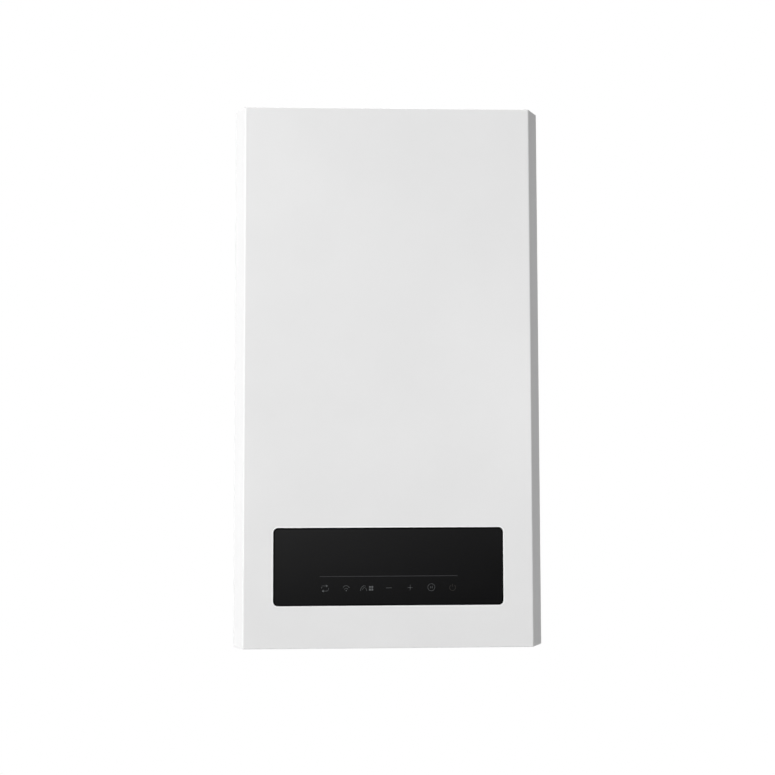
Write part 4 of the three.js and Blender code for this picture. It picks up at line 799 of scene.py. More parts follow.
def make_fan():
    housing = Shape().prism("y", scroll(0, 66), -191, -141, 1.6, 3)
    housing = housing.done("fan_scroll", "cast_aluminium", "fan_housing")
    hollow = Shape().prism("y", scroll(1.2, 70), -189.8, -142.2)
    inlet = Shape().turned((FAN_X, -150, FAN_Z), BACK, [
        (0, 0), (36.4, 0), (35, 7.8), (35, 8.6), (36, 9.2), (36, 12), (0, 12)], 64)
    bore = Shape().turned((FAN_X, -186, FAN_Z), FRONT, [(0, 0), (6, 0), (6, 8), (0, 8)], 32)
    carve(housing, "cast_aluminium", hollow, inlet, bore)

    trim = Shape()
    trim.frame("z", FLUE_FOOT, rounded_rect(0.5, FLUE_Y, 60, 48.5, 2, 6), 639.4, 641)
    for angle in (100, 160, 215, 270, 325):
        x, z = scroll_point((angle - 70) / 290, 5.5)
        boss = [(6.2, -0.2), (6.2, 1.2), (5.6, 1.8), (4.6, 1.8), (0, 1.8)]
        trim.turned((x, -190.9, z), FRONT, boss, 28)
        trim.screws([(x, -192.6, z)], FRONT, 3, 2, 1)
    trim.done("fan_scroll_trim", ["cast_aluminium", "bright_steel"])

    motor = Shape()
    face = -191.3
    motor.turned((FAN_X, face, FAN_Z), FRONT, [
        (0, 0), (37.5, 0), (38, 0.4), (38, 1.2), (37.5, 1.6), (29, 1.6), (28, 2.4), (22, 2.4),
        (21, 1.6), (0, 1.6)], 72)
    posts = [(FAN_X + x, FAN_Z + z) for z in (-26, 26) for x in (-26, 26)]
    for x, z in posts:
        post = [(4, 0), (4, 2), (3.2, 2.6), (3.2, 9.6), (0, 9.6)]
        motor.turned((x, face - 1.4, z), FRONT, post, 24)
    motor.hex_screws([(x, -221.2, z) for x, z in posts], FRONT, 2.8, 2.6)
    leaf = rounded_rect(FAN_X, FAN_Z + 1, 64, 66, 4)
    for i in range(10):
        motor.prism("y", leaf, -201.3 - 2 * i, -203.1 - 2 * i, ink=1)
    motor.prism("y", rounded_rect(FAN_X, FAN_Z + 1, 63, 65, 3.6), -201.5, -221.1, ink=1)
    coil, turn, cheek = (rounded_rect(-211.3, 535, *size) for size in (
        (29, 17, 6.5), (30.4, 18.4, 7), (32, 20, 3)))
    motor.prism("x", coil, FAN_X - 20, FAN_X + 20, ink=2)
    for i in range(15):
        x = FAN_X - 18.2 + 2.6 * i
        motor.prism("x", turn, x - 0.95, x + 0.95, 0.5, 1, 2)
    for x in (FAN_X - 24, FAN_X + 20):
        motor.prism("x", cheek, x, x + 4, 0.6, 2, 3)
    motor.prism("y", rounded_rect(FAN_X, 597, 56, 8, 2), -221, -224, 0.5, 2, 3)
    for x in (FAN_X - 18, FAN_X, FAN_X + 18):
        motor.box((x - 3.1, -227.3, 596.6), (x + 3.1, -223.6, 597.4), 0.2, 1)
    motor.turned((FAN_X, -221, FAN_Z), FRONT, [
        (22, 0), (22, 1.2), (20, 2.2), (15, 2.6), (13, 4), (13, 8.5), (12, 10), (9, 10.4),
        (8.4, 11.4), (4, 12.3), (0, 12.3)], 56)
    motor.done("fan_drive", ["bright_steel", "stainless_steel", "copper", "black_plastic"],
               "fan_motor")

    wheel = Shape()
    front, back = FLUE_Y - 20, FLUE_Y + 19
    wheel.turned((FAN_X, front, FAN_Z), BACK, [
        (0, -1.2), (50, -1.2), (50, 0), (12, 0), (9, 3), (9, 19), (8, 20), (0, 20)], 64)
    wheel.turned((FAN_X, back, FAN_Z), BACK, [(39, -1.2), (50, -1.2), (50, 0), (39, 0)], 64)
    section = [(-3.6, 39.2), (-2.6, 39.2), (0.2, 44), (4.4, 49.4), (3.2, 49.4), (-0.9, 44.2)]
    blade = Shape().prism("y", section, front - 0.3, back - 0.9)
    wheel.around(blade, 36, (FAN_X, 0, FAN_Z), "Y")
    wheel.turned((FAN_X, front + 2, FAN_Z), FRONT, [
        (0, 0), (3, 0), (3, 43.6), (2.6, 44.2), (0, 44.2)], 20)
    wheel.done("fan_impeller", "stainless_steel", "fan_wheel", "fan_rotor")

    centre = (SWITCH_X, -153, SWITCH_Z)
    switch = Shape().turned(centre, FRONT, [
        (0, 0), (28.5, 0), (29, 0.6), (29, 10), (31.4, 10.6), (32, 11.4), (32, 14.6), (31.4, 15.4),
        (29, 16), (24.8, 25), (24, 26), (15, 26), (14.2, 25), (10, 25), (9.2, 26), (0, 26)], 72)
    clip = Shape().box((-2.6, -16.4, 29.8), (2.6, -9.6, 32), 0.5)
    switch.around(clip, 8, centre, "Y")
    for x, low in ((SWITCH_X, 27), (SWITCH_X - 14, 25)):
        switch.turned((x, FLUE_Y, SWITCH_Z), UP, [
            (0, low), (4.2, low), (4.2, low + 5), (2.8, low + 6), (2.8, 33), (3.5, 33.4), (2.8, 37),
            (3.5, 37.2), (2.7, 41), (2.3, 44), (1.5, 44), (1.5, 38), (0, 38)], 24)
    for x in (SWITCH_X - 7, SWITCH_X, SWITCH_X + 7):
        switch.box((x - 3.1, -184.5, 581.6), (x + 3.1, -178.6, 582.4), 0.2, 1, 1)
    switch.box((SWITCH_X - 15, -181, 577), (SWITCH_X + 15, -178.4, 587), 0.8)
    switch.box((SWITCH_X, -154, 584), (197.9, -152.6, 612), 0.4, 1)
    switch.box((196.8, -154, 584), (198, -132, 612), 0.4, 1)
    switch.done("air_switch", ["black_plastic", "brass", "galvanised_steel"], "air_pressure_switch")


# ---- combustion ----------------------------------------------------------------------------

# where pipes and hoses stand, in (x, y)
TAIL_Y = -95
FLOW_FOOT, RETURN_FOOT = (-146, -100), (166, -104)
TANK_PORT, HOSE_FOOT = (-100, -51), (-88, -76)
GAS_PORT, VENT = (-12, -120), (92, -68)

TUBE_Y = [-124 - 28 * i for i in range(5)]
TUBE_Z = 438


def make_exchanger():
    def about(width, height, radius):
        return rounded_rect(0, TUBE_Y[2], width, height, radius, 5)

    core = Shape()
    core.frame("z", about(244, 160, 4), about(240, 156, 2.5), 402, 474)
    for z in (411, 465):
        core.frame("z", about(245.4, 161.4, 4.6), about(243, 159, 3.4), z - 2.2, z + 2.2)
    for i in range(40):
        x = -117 + 6 * i
        core.box((x - 0.35, -258.5, 410), (x + 0.35, -101.5, 466), 0)
    corners = [(147.7, TUBE_Y[0], TUBE_Z)]
    for i, x in enumerate((-138, 138, -138, 138)):
        corners += [(x, TUBE_Y[i], TUBE_Z), (x, TUBE_Y[i + 1], TUBE_Z)]
    corners.append((-147.7, TUBE_Y[4], TUBE_Z))
    core.tube(corners, 8.5, 13.9, 24, 10)
    for side, y in ((1, TUBE_Y[0]), (-1, TUBE_Y[4])):
        core.turned((side * 121, y, TUBE_Z), (side, 0, 0), [
            (0, 0), (9, 0), (9, 12), (9.5, 13), (9.5, 16), (8.9, 16.6), (9.5, 17.2), (9.5, 26.5),
            (8.6, 28.7), (0, 28.7)], 36)
    collar = [(8.4, -0.8), (10.8, -0.8), (10.2, 0.6), (8.9, 1.6), (8.4, 1.6)]
    for side in (-1, 1):
        for y in TUBE_Y:
            core.turned((side * 122.6, y, TUBE_Z), (side, 0, 0), collar, 28)
    core.done("finned_core", "copper", "heat_exchanger")

    cutout = Shape().turned((-136, -236, 447.8), UP, [
        (0, 0), (8.2, 0), (8.5, 0.3), (8.5, 2.2), (6.6, 2.6), (6.6, 7.4), (6.2, 8), (0, 8)], 36)
    for x in (-141.5, -130.5):
        cutout.box((x - 1.8, -236.5, 454), (x + 1.8, -235.5, 464.8), 0.25, 1, 1)
    cutout.done("limit_thermostat", ["black_plastic", "brass"], "overheat_thermostat")


def make_chamber_front():
    face = -262.3
    glass_x, glass_z, spark_z = -52, 318, 273
    plate = Shape().box((-133, face - 1.2, 215), (133, face, 401.7), 0.4)
    plate = plate.done("chamber_door", "stainless_steel", "chamber_front")
    sight = Shape().turned((glass_x, -258, glass_z), FRONT, [(0, 0), (8, 0), (8, 12), (0, 12)], 40)
    gap = Shape().box((-26, -268, 266), (26, -258, 280), 0)
    carve(plate, "stainless_steel", sight, gap)
    press = Shape()
    for z in (250, 372):
        half = ((0, -5), (0.4, -4.4), (1.6, -3), (2.4, -1.2))
        swell = [*half, (2.6, 0), *((out, -up) for out, up in reversed(half))]
        points = [(face - 1 - out, z + up) for out, up in swell]
        flat = [(face - 1 - 0.05 * out, z + 0.7 * up) for out, up in swell]
        press.loft("x", [(flat, -110), (points, -103), (points, 103), (flat, 110)])
    press.turned((glass_x, face, glass_z), FRONT, [
        (8, 0.6), (16, 0.6), (16, 2.2), (15.2, 4), (13.6, 5.2), (10.4, 5.2), (10.3, 1.4), (8, 1.4)],
        56)
    press.done("chamber_door_pressings", "stainless_steel")
    places = [(x, z) for x in (-128, 128) for z in (226, 268, 310, 352, 392)]
    places += [(x, z) for x in (-86, -40, 40, 86) for z in (222, 395)]
    bolts = Shape().hex_screws([(x, face - 1.2, z) for x, z in places], FRONT, 2.9)
    ring = arc(glass_x, glass_z, 12.4, 90, 330, 2)
    bolts.screws([(x, face - 4.8, z) for x, z in ring], FRONT, 1.5, 1.3)
    bolts.done("chamber_door_bolts", "bright_steel")
    pane = Shape().turned((glass_x, -263.8, glass_z), FRONT, [
        (0, 0), (9.7, 0), (10, 0.3), (10, 2.8), (9.4, 3.3), (0, 3.3)], 48)
    pane.done("sight_pane", "sight_glass", "sight_glass").visible_shadow = False

    spark = Shape()
    spark.prism("y", rounded_rect(0, spark_z, 64, 20, 4), -265.4, -263.8, 0.35, 1, 1)
    for x in (-18, 2, 18):
        spark.turned((x, -249.8, spark_z), FRONT, [
            (0, 0), (3.2, 0), (3.6, 0.8), (4, 2), (4, 15.6), (3.4, 16.2), (4, 17), (3.4, 17.8),
            (4, 18.6), (3.4, 19.4), (3.9, 20.2), (3.2, 21.6), (1.6, 22), (0, 22)], 28)
        spark.turned((x, -233.8, spark_z), FRONT, [
            (0, 0), (1.5, 0), (1.5, 43), (1.2, 43.2), (0, 43.2)], 16, 1)
    spark.screws([(x, -265.4, spark_z) for x in (-27, 10, 27)], FRONT, 2.3, ink=1)
    spark.done("spark_electrodes", ["ceramic", "bright_steel"], "electrode_set")

    run = ((-277.3, spark_z), (-283, spark_z), (-283, 193.2), (-150, 193.2), (-150, 174.6))
    lead = Shape().tube([(18, y, z) for y, z in run], 2.2, 5, 16, 8)
    lead.turned((18, -283, 268), DOWN, [
        (2.1, 0), (3.4, 0.6), (3.6, 2), (3.4, 12), (2.8, 16), (2.1, 16.6)], 24, 1)
    lead.turned((18, -150, 175), UP, [
        (2.1, 0), (3.6, 0.2), (3.6, 8), (2.8, 11), (2.1, 11.4)], 24, 1)
    lead.done("spark_lead", ["red_plastic", "rubber"], "ignition_lead")


def make_vessel():
    def about(inset, width=288, height=393, radius=34):
        return rounded_rect(0, 447.5, width - 2 * inset, height - 2 * inset, radius - inset, 10)

    tank = Shape()
    dome = [(about(14 - 14 * a), 22 * b) for a, b in arc(0, 0, 1, 0, 90, 7)]
    tank.loft("y", [(points, -64 - y) for points, y in reversed(dome)]
              + [(points, -38 + y) for points, y in dome])
    rim, tight = about(0, 300, 405, 40), about(1.2, 300, 405, 40)
    tank.loft("y", [
        (tight, -52.5), (rim, -52), (rim, -51.2), (tight, -51), (rim, -50.8), (rim, -50),
        (tight, -49.5)])
    tank.loft("y", [(about(0, 200, 300, 60), -85.8), (about(2, 200, 300, 60), -85.97)])
    tank.done("expansion_tank", "red_paint", "expansion_vessel")
    ends = Shape().turned((*TANK_PORT, 233), UP, [
        (4, 0), (7.4, 0), (8, 0.6), *[(8 if i % 2 else 7.2, 1 + 0.6 * i) for i in range(14)],
        (8, 10), (8, 13), (4, 13)], 36)
    ends.turned((100, -51, 640), UP, [
        (0, 0), (5, 0), (5, 11), (4.2, 11.6), (4.2, 14), (4.6, 14.4), (4.6, 24), (4.1, 25.6),
        (0, 26)], 28, 1)
    ends.done("expansion_tank_fittings", ["brass", "black_plastic"])
    for side, x in (("left", -115), ("right", 115)):
        for z in (300, 590):
            pad = Shape().box((x - 15, -17, z - 12), (x + 15, -13.5, z + 12), 0.8)
            pad.done(f"tank_pad_{side}_{z}", "galvanised_steel")

    run = [(*TANK_PORT, 221), (*TANK_PORT, 172), (*HOSE_FOOT, 152), (*HOSE_FOOT, 140)]
    hose = Shape().tube(run, 4.75, 12, 24, 8,
                        ripple=lambda travel: 0.75 * math.sin(TAU * travel / 3.2))
    ends = (((*TANK_PORT, 232.7), DOWN, 12.5), ((*HOSE_FOOT, 130.3), UP, 10.5))
    for place, axis, length in ends:
        flats, end = hexagon(6.6), nut(6.6)
        hose.turned(place, axis, [
            (3.6, 0), (end, 0), (flats, 0.6), (flats, length - 1.6), (end, length - 1),
            (5.4, length), (3.6, length)], 36, 1)
    hose.done("tank_hose", ["stainless_steel", "brass"], "vessel_hose")


# ---- gas and water -------------------------------------------------------------------------


def make_tails():
    large, small = (13.2, 9, 11.5, 14.7), (10.5, 7, 9.5, 12.1)
    rows = (
        ("heating_flow", -130, 27.7, large), ("hot_water", -65, 39.7, small),
        ("gas", 0, 61.7, large), ("cold_water", 65, 21.7, small),
        ("heating_return", 130, 27.7, large))
    for name, x, top, (thread, bore, wall, flat) in rows:
        flats, end = hexagon(flat), nut(flat)
        profile = ((0.1, -29.2), (0, -28.9), (1.1, -28.2), (1.1, -27.9))
        turns = [(thread - depth, z + 2 * i) for i in range(7) for depth, z in profile]
        tail = Shape().turned((x, TAIL_Y, 0), UP, [
            (bore, -30), (thread - 1.3, -30), *turns, (thread - 1.1, -14.6), (end, -14),
            (flats, -13.2), (flats, -3.8), (end, -3), (wall, -2.4), (wall, top - 9.4),
            (thread + 1.1, top - 8), (thread + 1.5, top - 7.6), (thread + 1.5, top - 0.4),
            (thread + 1.1, top), (bore, top)], 60)
        tail.done(name + "_union", "brass", name + "_tail")


def make_gas_valve():
    body = Shape().prism("z", rounded_rect(0, -121, 76, 98, 7), 70, 150, 2.2, 3)
    body.prism("x", rounded_rect(-121, 110, 84, 62, 6), -38, 38, 0.8)
    body.turned((0, TAIL_Y, 62), UP, [(9, 0), (19.4, 0), (20, 0.6), (20, 9), (9, 9)], 48)
    body.turned((*GAS_PORT, 148), UP, [
        (6, 0), (14, 0), (14, 3), (12.2, 4), (12.2, 9), (11.6, 10), (6, 10)], 40)
    for x in (-30, 30):
        body.prism("y", rounded_rect(x, 80, 10, 10, 3), -170, -168, 0.3)
    body.turned((0, -170, 82), FRONT, [
        (0, -1), (6.4, -1), (6.4, 1.4), (5.8, 2), (hexagon(2.6), 2), (hexagon(2.6), 0.4), (0, 0.4)],
        36, 3)
    for side in (-1, 1):
        corners = [(side * 38, y, z) for y in (-158, -84) for z in (84, 136)]
        body.screws(corners, (side, 0, 0), 3, ink=3)
        for z in (100, 106, 112, 118):
            body.box((side * 37.2 - 1, -146, z - 1), (side * 37.2 + 1, -96, z + 1), 0.4)
    for x in (-18, 18):
        outer = rounded_rect(x, 107, 28, 38, 3)
        body.prism("y", outer, -169.5, -172, 0.6, 2, 1)
        body.prism("y", rounded_rect(x, 107, 24, 34, 8), -171.5, -200, 1, 2, 2)
        body.prism("y", outer, -200, -204, 0.8, 2, 1)
        body.frame("y", outer, rounded_rect(x, 107, 25, 35, 2), -204, -170)
        body.turned((x, -202, 107), FRONT, [
            (0, 0), (hexagon(7.2), 0), (hexagon(7.2), 3.4), (nut(7.2), 4), (4.6, 4), (4.6, 5.4),
            (4, 6), (0, 6)], 36, 3)
        for dx in (-5, 5):
            body.box((x + dx - 0.4, -203.6, 90.4), (x + dx + 0.4, -196, 94), 0.15, 1, 3)
    body.turned((-18, -148, 146), UP, [
        (0, 0), (15, 0), (15, 8), (14.2, 9), (14.2, 24), (13, 25.6), (8, 25.6), (7.4, 28), (0, 28)],
        48, 1)
    body.prism("z", rounded_rect(19, -149, 30, 34, 2.5), 149, 174.2, 0.9, 2, 1)
    body.prism("z", rounded_rect(19, -140, 22, 10, 1.5), 170, 174.2, 0.4, 1, 2)
    body.done("gas_control", ["cast_aluminium", "black_plastic", "grey_plastic", "bright_steel"],
              "gas_valve")

    run = [(*GAS_PORT, 158.3), (*GAS_PORT, 203.5), (-12, -222.7, 203.5)]
    pipe = Shape().tube(run, 7, 15, 28, 10)
    flats, end = hexagon(10.4), nut(10.4)
    for place, axis in (((*GAS_PORT, 159.5), UP), ((-12, -222.9, 203.5), BACK)):
        pipe.turned(place, axis, [
            (6.9, 0), (end, 0), (flats, 0.8), (flats, 9.2), (end, 10), (8, 11), (6.9, 11)], 36, 1)
    pipe.done("gas_line", ["copper", "brass"], "gas_pipe")


def make_pipes():
    flow = Shape().tube([
        (-149.7, TUBE_Y[4], TUBE_Z), (-166, TUBE_Y[4], TUBE_Z), (-166, TUBE_Y[4], 252),
        (*FLOW_FOOT, 218), (*FLOW_FOOT, 139.3)], 9, 14, 28, 10)
    flow.turned((*FLOW_FOOT, 139.6), UP, [
        (8.9, 0), (12.2, 0), (12.4, 0.4), (12.4, 9), (11.4, 10.4), (8.9, 11)], 40, 1)
    flow.done("flow_line", ["copper", "brass"], "flow_pipe")
    back = Shape().tube([(*RETURN_FOOT, 160.3), (*RETURN_FOOT, 340), (166, TUBE_Y[0], 375),
                         (166, TUBE_Y[0], TUBE_Z), (149.7, TUBE_Y[0], TUBE_Z)], 9, 14, 28, 10)
    back.turned((*RETURN_FOOT, 160.6), UP, [
        (8.9, 0), (12.6, 0), (12.8, 0.4), (12.8, 9), (11.6, 10.4), (8.9, 11)], 40, 1)
    back.done("return_line", ["copper", "brass"], "return_pipe")


def make_pump():
    px, pz = 120, 115
    cast = Shape().turned((px, -50, pz), FRONT, [
        (0, 0), (34, 0), (39, 2), (42, 6), (42, 20), (44, 23), (44, 60), (43, 63), (44, 64),
        (44, 67.4), (43.4, 68), (36, 68), (36, 49), (0, 49)], 80)
    bolts = arc(px, pz, 39, 45, 315, 3)
    for x, z in bolts:
        cast.turned((x, -94, z), FRONT, [(0, 0), (6.2, 0), (6.2, 23.4), (5.8, 24), (0, 24)], 28)
    cast.turned((130, TAIL_Y, 28), UP, [
        (10, 0), (15.4, 0), (16, 0.6), (16, 10), (14.6, 11), (14.6, 50), (10, 50)], 44)
    cast.box((49, -80, 52), (100, -62.6, 124), 2.4, 3)
    cast.box((50, -110, 60), (80, -79, 72), 1.6)
    cast.box((82, -108, 42), (130, -82, 62), 3, 3)
    cast.box((79, -108, 61), (95, -82, 72), 1.6)
    cast.turned((97, TAIL_Y, 26), UP, [
        (5.6, 0), (10.4, 0), (11, 0.6), (11, 16), (10, 18), (5.6, 18)], 36)
    cast.turned((*RETURN_FOOT, 125), UP, [
        (0, 0), (12, 0), (13, 1.4), (13, 34.2), (12.2, 35), (8, 35), (8, 24), (0, 24)], 40)
    cast.box((140, -114, 120), (166, -94, 140), 3, 3)
    cast.turned((*VENT, 125), UP, [
        (0, 0), (11, 0), (11, 27), (10.4, 28), (11, 29), (11, 31), (0, 31)], 36)
    for z in (64, 76, 88, 100, 112):
        cast.box((52, -81.4, z - 1), (84, -79.6, z + 1), 0.4)
    cast.done("pump_casting", "black_plastic", "pump_volute")

    motor = Shape().turned((px, -118.3, pz), FRONT, [
        (3.6, 0), (43.4, 0), (44, 0.6), (44, 7.4), (43.4, 8), (40, 8.6), (40, 56), (39, 58),
        (3.6, 58), (3.6, 24)], 80, 1)
    motor.screws([(x, -126.3, z) for x, z in bolts], FRONT, 3.4, 3.4, 2)
    rib = Shape().box((-0.9, -56, 39.6), (0.9, -10, 41.6), 0.3, 1)
    motor.around(rib, 30, (px, -118.3, pz), "Y", 1)
    motor.prism("y", rounded_rect(px, pz, 84, 84, 14, 8), -175.3, -206.5, 1.2, 3)
    motor.prism("y", rounded_rect(px, pz, 78, 78, 12, 8), -206, -210.3, 1.6, 3)
    motor.turned((px, -210, pz), FRONT, [
        (0, 0), (12, 0), (12, 1.4), (11.2, 2.2), (9.4, 2.2), (8.8, 1.2), (0, 1.2)], 44, 3)
    for x, z in arc(px, pz, 20, 150, 30, 4):
        motor.turned((x, -210.1, z), FRONT, [(0, 0), (1.5, 0), (1.5, 0.5), (0, 0.9)], 16, 4)
    corners = [(px + dx, -210, pz + dz) for dx in (-33, 33) for dz in (-33, 33)]
    motor.screws(corners, FRONT, 2.6, 1.6, 2)
    motor.prism("y", rounded_rect(px - 20, pz - 31, 26, 10, 2), -209, -212, 0.5, 2, 3)
    motor.done("circulator_head", ["black_plastic", "cast_aluminium", "bright_steel",
                                   "grey_plastic", "dial_green"], "pump_motor")

    vent = Shape().turned((*VENT, 156.3), UP, [
        (0, 0), (hexagon(8.6), 0), (hexagon(8.6), 3.6), (10, 4), (13.4, 4.6), (14, 5.4), (14, 18.8),
        (13.2, 20.2), (10, 22.6), (6, 23.6), (5, 24), (lobed(4.8, 0.2, 14), 24.4),
        (lobed(4.8, 0.2, 14), 28.4), (4.2, 29), (1.2, 29), (1, 27.6), (0, 27.6)], 84)
    vent.done("automatic_vent", "brass", "air_vent")

    wheel = Shape().turned((px, -115.5, pz), BACK, [
        (0, -2), (33, -2), (33, 0), (12, 0), (9.5, 2), (9.5, 17.4), (0, 17.4)], 56)
    wheel.turned((px, -103.5, pz), BACK, [(14, 0), (30, 0), (30, 1.5), (14, 1.5)], 56)
    vane = Shape().prism("y", [
        (9, -2.4), (17, -1.6), (25, 1.6), (32, 7), (31.2, 8.2), (24, 3.2), (16.6, 0.4), (9, 0)],
        -115.7, -103)
    wheel.around(vane, 6, (px, 0, pz), "Y")
    wheel.turned((px, -100, pz), FRONT, [(0, 0), (3, 0), (3, 40), (0, 40)], 20, 1)
    wheel.done("circulator_impeller", ["white_plastic", "bright_steel"], "pump_impeller",
               "pump_rotor")


def make_flow_group():
    make_diverter()
    make_plates()
    make_flow_meter()
    make_relief_and_tap()


def make_diverter():
    sx, sz = -131, 88  # the spindle's axis
    block = Shape().box((-158, -120, 40), (-104, -62.3, 130), 3.2, 3)
    block.turned((-130, TAIL_Y, 28), UP, [
        (10, 0), (15.4, 0), (16, 0.6), (16, 11), (15, 12.5), (10, 12.5)], 44)
    block.turned((*FLOW_FOOT, 129), UP, [(8, 0), (12.4, 0), (12.4, 9.4), (11.8, 10), (8, 10)], 40)
    block.box((-105, -88, 52), (-74, -62.3, 124), 2)
    block.box((-80, -110, 40), (-50, -62.3, 58), 2)
    block.box((-100, -103, 44), (-65, -62.3, 70), 2.4)
    block.turned((*HOSE_FOOT, 122), UP, [
        (0, 0), (7, 0), (7, 7.4), (6.4, 8), (3, 8), (3, 5), (0, 5)], 32)
    block.turned((sx, -119, sz), FRONT, [
        (4.6, 0), (18, 0), (18, 3), (16, 5), (16, 26.2), (15.2, 27), (4.6, 27)], 48)
    for z in (62, 114):
        block.turned((sx, -119.8, z), FRONT, [(0, 0), (7, 0), (6.6, 0.8), (0, 0.8)], 32)
        block.hex_screws([(sx, -120.4, z)], FRONT, 3.4, ink=1)
    block.screws([(-98, -88, z) for z in (60, 116)], FRONT, ink=1)
    block.done("diverter_block", ["brass", "bright_steel"], "flow_block")

    drive = Shape().turned((sx, -146.3, sz), FRONT, [
        (6, 0), (16.4, 0), (17, 0.6), (lobed(16.7, 0.3, 24), 2), (lobed(16.7, 0.3, 24), 9),
        (17, 10), (17, 12), (6, 12)], 96)
    drive.prism("y", rounded_rect(sx, sz, 48, 44, 6), -157.3, -196.5, 1, 3)
    drive.prism("y", rounded_rect(sx, sz, 44, 40, 5), -196, -198.3, 0.8, 2)
    drive.turned((sx, -197.3, sz), FRONT, [
        (0, 0), (15, 0), (15, 5.4), (14.2, 6.8), (11, 7), (0, 7)], 56, 1)
    for side in (-1, 1):
        for z in (74, 81, 88, 95, 102):
            x = sx + side * 24
            drive.box((x - 0.8, -190, z - 0.8), (x + 0.8, -164, z + 0.8), 0.3, 1)
    drive.prism("y", rounded_rect(sx, 62.8, 20, 9, 1.5), -168.3, -186.3, 0.6, 2, 2)
    for x in (sx - 6, sx, sx + 6):
        drive.turned((x, -177.3, 58.6), DOWN, [(0, 0), (1.1, 0), (1.1, 3), (0, 3.4)], 12, 3)
    drive.done("diverter_drive", ["white_plastic", "grey_plastic", "black_plastic", "brass"],
               "diverter_motor")

    stem = Shape().turned((sx, -86, sz), FRONT, [
        (0, 0), (10.5, 0), (10.5, 2), (9.6, 2.6), (3.6, 3.2), (3.6, 60), (3, 60.6), (3, 62),
        (3.6, 62.6), (3.6, 77), (5.2, 78), (5.2, 81.4), (4.6, 82), (0, 82)], 36)
    stem.done("diverter_stem_rod", "stainless_steel", "diverter_spindle", "diverter_stem")


def make_plates():
    stack, middle = Shape(), -14
    outer = rounded_rect(middle, 87, 168, 74, 18, 8)
    inner = rounded_rect(middle, 87, 164.6, 70.6, 16.4, 8)
    for i in range(12):
        y = -62 + 3.5 * i
        stack.prism("y", outer, y, y + 1.9)
        if i < 11:
            stack.prism("y", inner, y + 1.8, y + 3.6)
    for side in (-1, 1):
        for z in (64, 110):
            stack.turned((middle + side * 68, -62, z), BACK, [
                (0, 41.5), (10, 41.5), (10, 42), (0, 42)], 32)
    stack.done("hot_water_plates", "stainless_steel", "plate_heat_exchanger")


def make_flow_meter():
    mx, my = 65, TAIL_Y
    meter = Shape().turned((mx, my, 0), UP, [
        (9, 22), (13.6, 22), (14, 22.4), (14, 29.6), (12.2, 31), (12, 32), (12, 50), (12.2, 50.8),
        (14, 52), (14, 59.3), (13.6, 59.7), (9, 59.7)], 52)
    for z in (38, 44):
        meter.turned((mx, my, z), UP, [(11.8, 0), (12.8, 0.3), (12.8, 1.7), (11.8, 2)], 52)
    meter.prism("x", rounded_rect(-110.7, 42, 10.4, 16, 1.5), 58, 72, 0.7, 2, 1)
    for x in (61, 65, 69):
        meter.box((x - 0.5, -117.6, 39), (x + 0.5, -115.4, 45), 0.15, 1)
    meter.turned((mx, my, 27), RIGHT, [(0, -9.4), (1.2, -9.4), (1.2, 9.4), (0, 9.4)], 12)
    meter.done("flow_meter", ["black_plastic", "grey_plastic", "brass"], "flow_sensor")

    turbine = Shape().turned((mx, my, 30), UP, [
        (0, 0), (2, 0), (3, 2), (3, 18), (2, 20), (0, 20)], 28)
    section = [(-0.6, -5), (0.6, -5), (2.2, 0), (3.4, 5), (2.2, 5), (1, 0)]
    blade = Shape().prism("x", section, 1, 7.2, 0.15, 1)
    turbine.around(blade, 6, (mx, my, 40), "Z")
    turbine.done("flow_meter_turbine", "white_plastic", "flow_turbine", "flow_rotor")


def make_relief_and_tap():
    kx, relief_z = 97, 51  # the knobs' axes
    flats, end = hexagon(8.2), nut(8.2)
    relief = Shape().turned((kx, -108.3, relief_z), FRONT, [
        (0, 0), (end, 0), (flats, 0.8), (flats, 10), (end, 10.8), (9, 12), (9.5, 13), (9.5, 29),
        (8.6, 31.2), (3.5, 31.7), (3.5, 41.7), (0, 41.7)], 60)
    relief.turned((kx, -128, 0), UP, [
        (4, -20), (5.6, -20), (6, -19.6), (6, -16), (5.2, -15.4), (6, -14.8), (5.2, -14),
        (6, -13.4), (5.4, -12.6), (5.4, 30), (6, 31), (6, 46), (4, 46)], 36)
    relief.done("relief_valve_body", "brass", "safety_valve")
    grip = lobed(12.1, 1.2, 6)
    knob = Shape().turned((kx, -140.3, relief_z), FRONT, [
        (3.9, 0), (10.2, 0), (grip, 0.9), (grip, 12.4), (lambda a: grip(a) - 0.9, 13.8), (10, 14),
        (9.4, 15.6), (7, 15.7), (6.4, 15), (0, 15)], 72)
    knob.box((kx - 0.8, -156, 52.4), (kx + 0.8, -155.1, 57.4), 0.3, 1, 1)
    knob.done("relief_knob_cap", ["red_plastic", "dial_white"], "safety_knob", "relief_knob")
    grip = lobed(11.6, 0.95, 8)
    tap = Shape().turned((kx, TAIL_Y, 0), UP, [
        (0, -21.2), (6.4, -21.2), (7, -22), (8.4, -22), (9.6, -21.4),
        (lambda a: grip(a) - 0.9, -19.6), (grip, -18.6), (grip, -5), (lambda a: grip(a) - 0.8, -4),
        (6, -3.2), (5, -3), (5, 50), (0, 50)], 80)
    for x, y in arc(kx, TAIL_Y, 4.2, 20, 120, 2):
        dot = [(0, -0.3), (0.7, -0.3), (0.6, 0.35), (0, 0.4)]
        tap.turned((x, y, -21.3), DOWN, dot, 12, 1)
    tap.done("filling_tap_knob", ["black_plastic", "dial_white"], "filling_knob", "filling_tap")


# ---- pressure gauge ------------------------------------------------------------------------

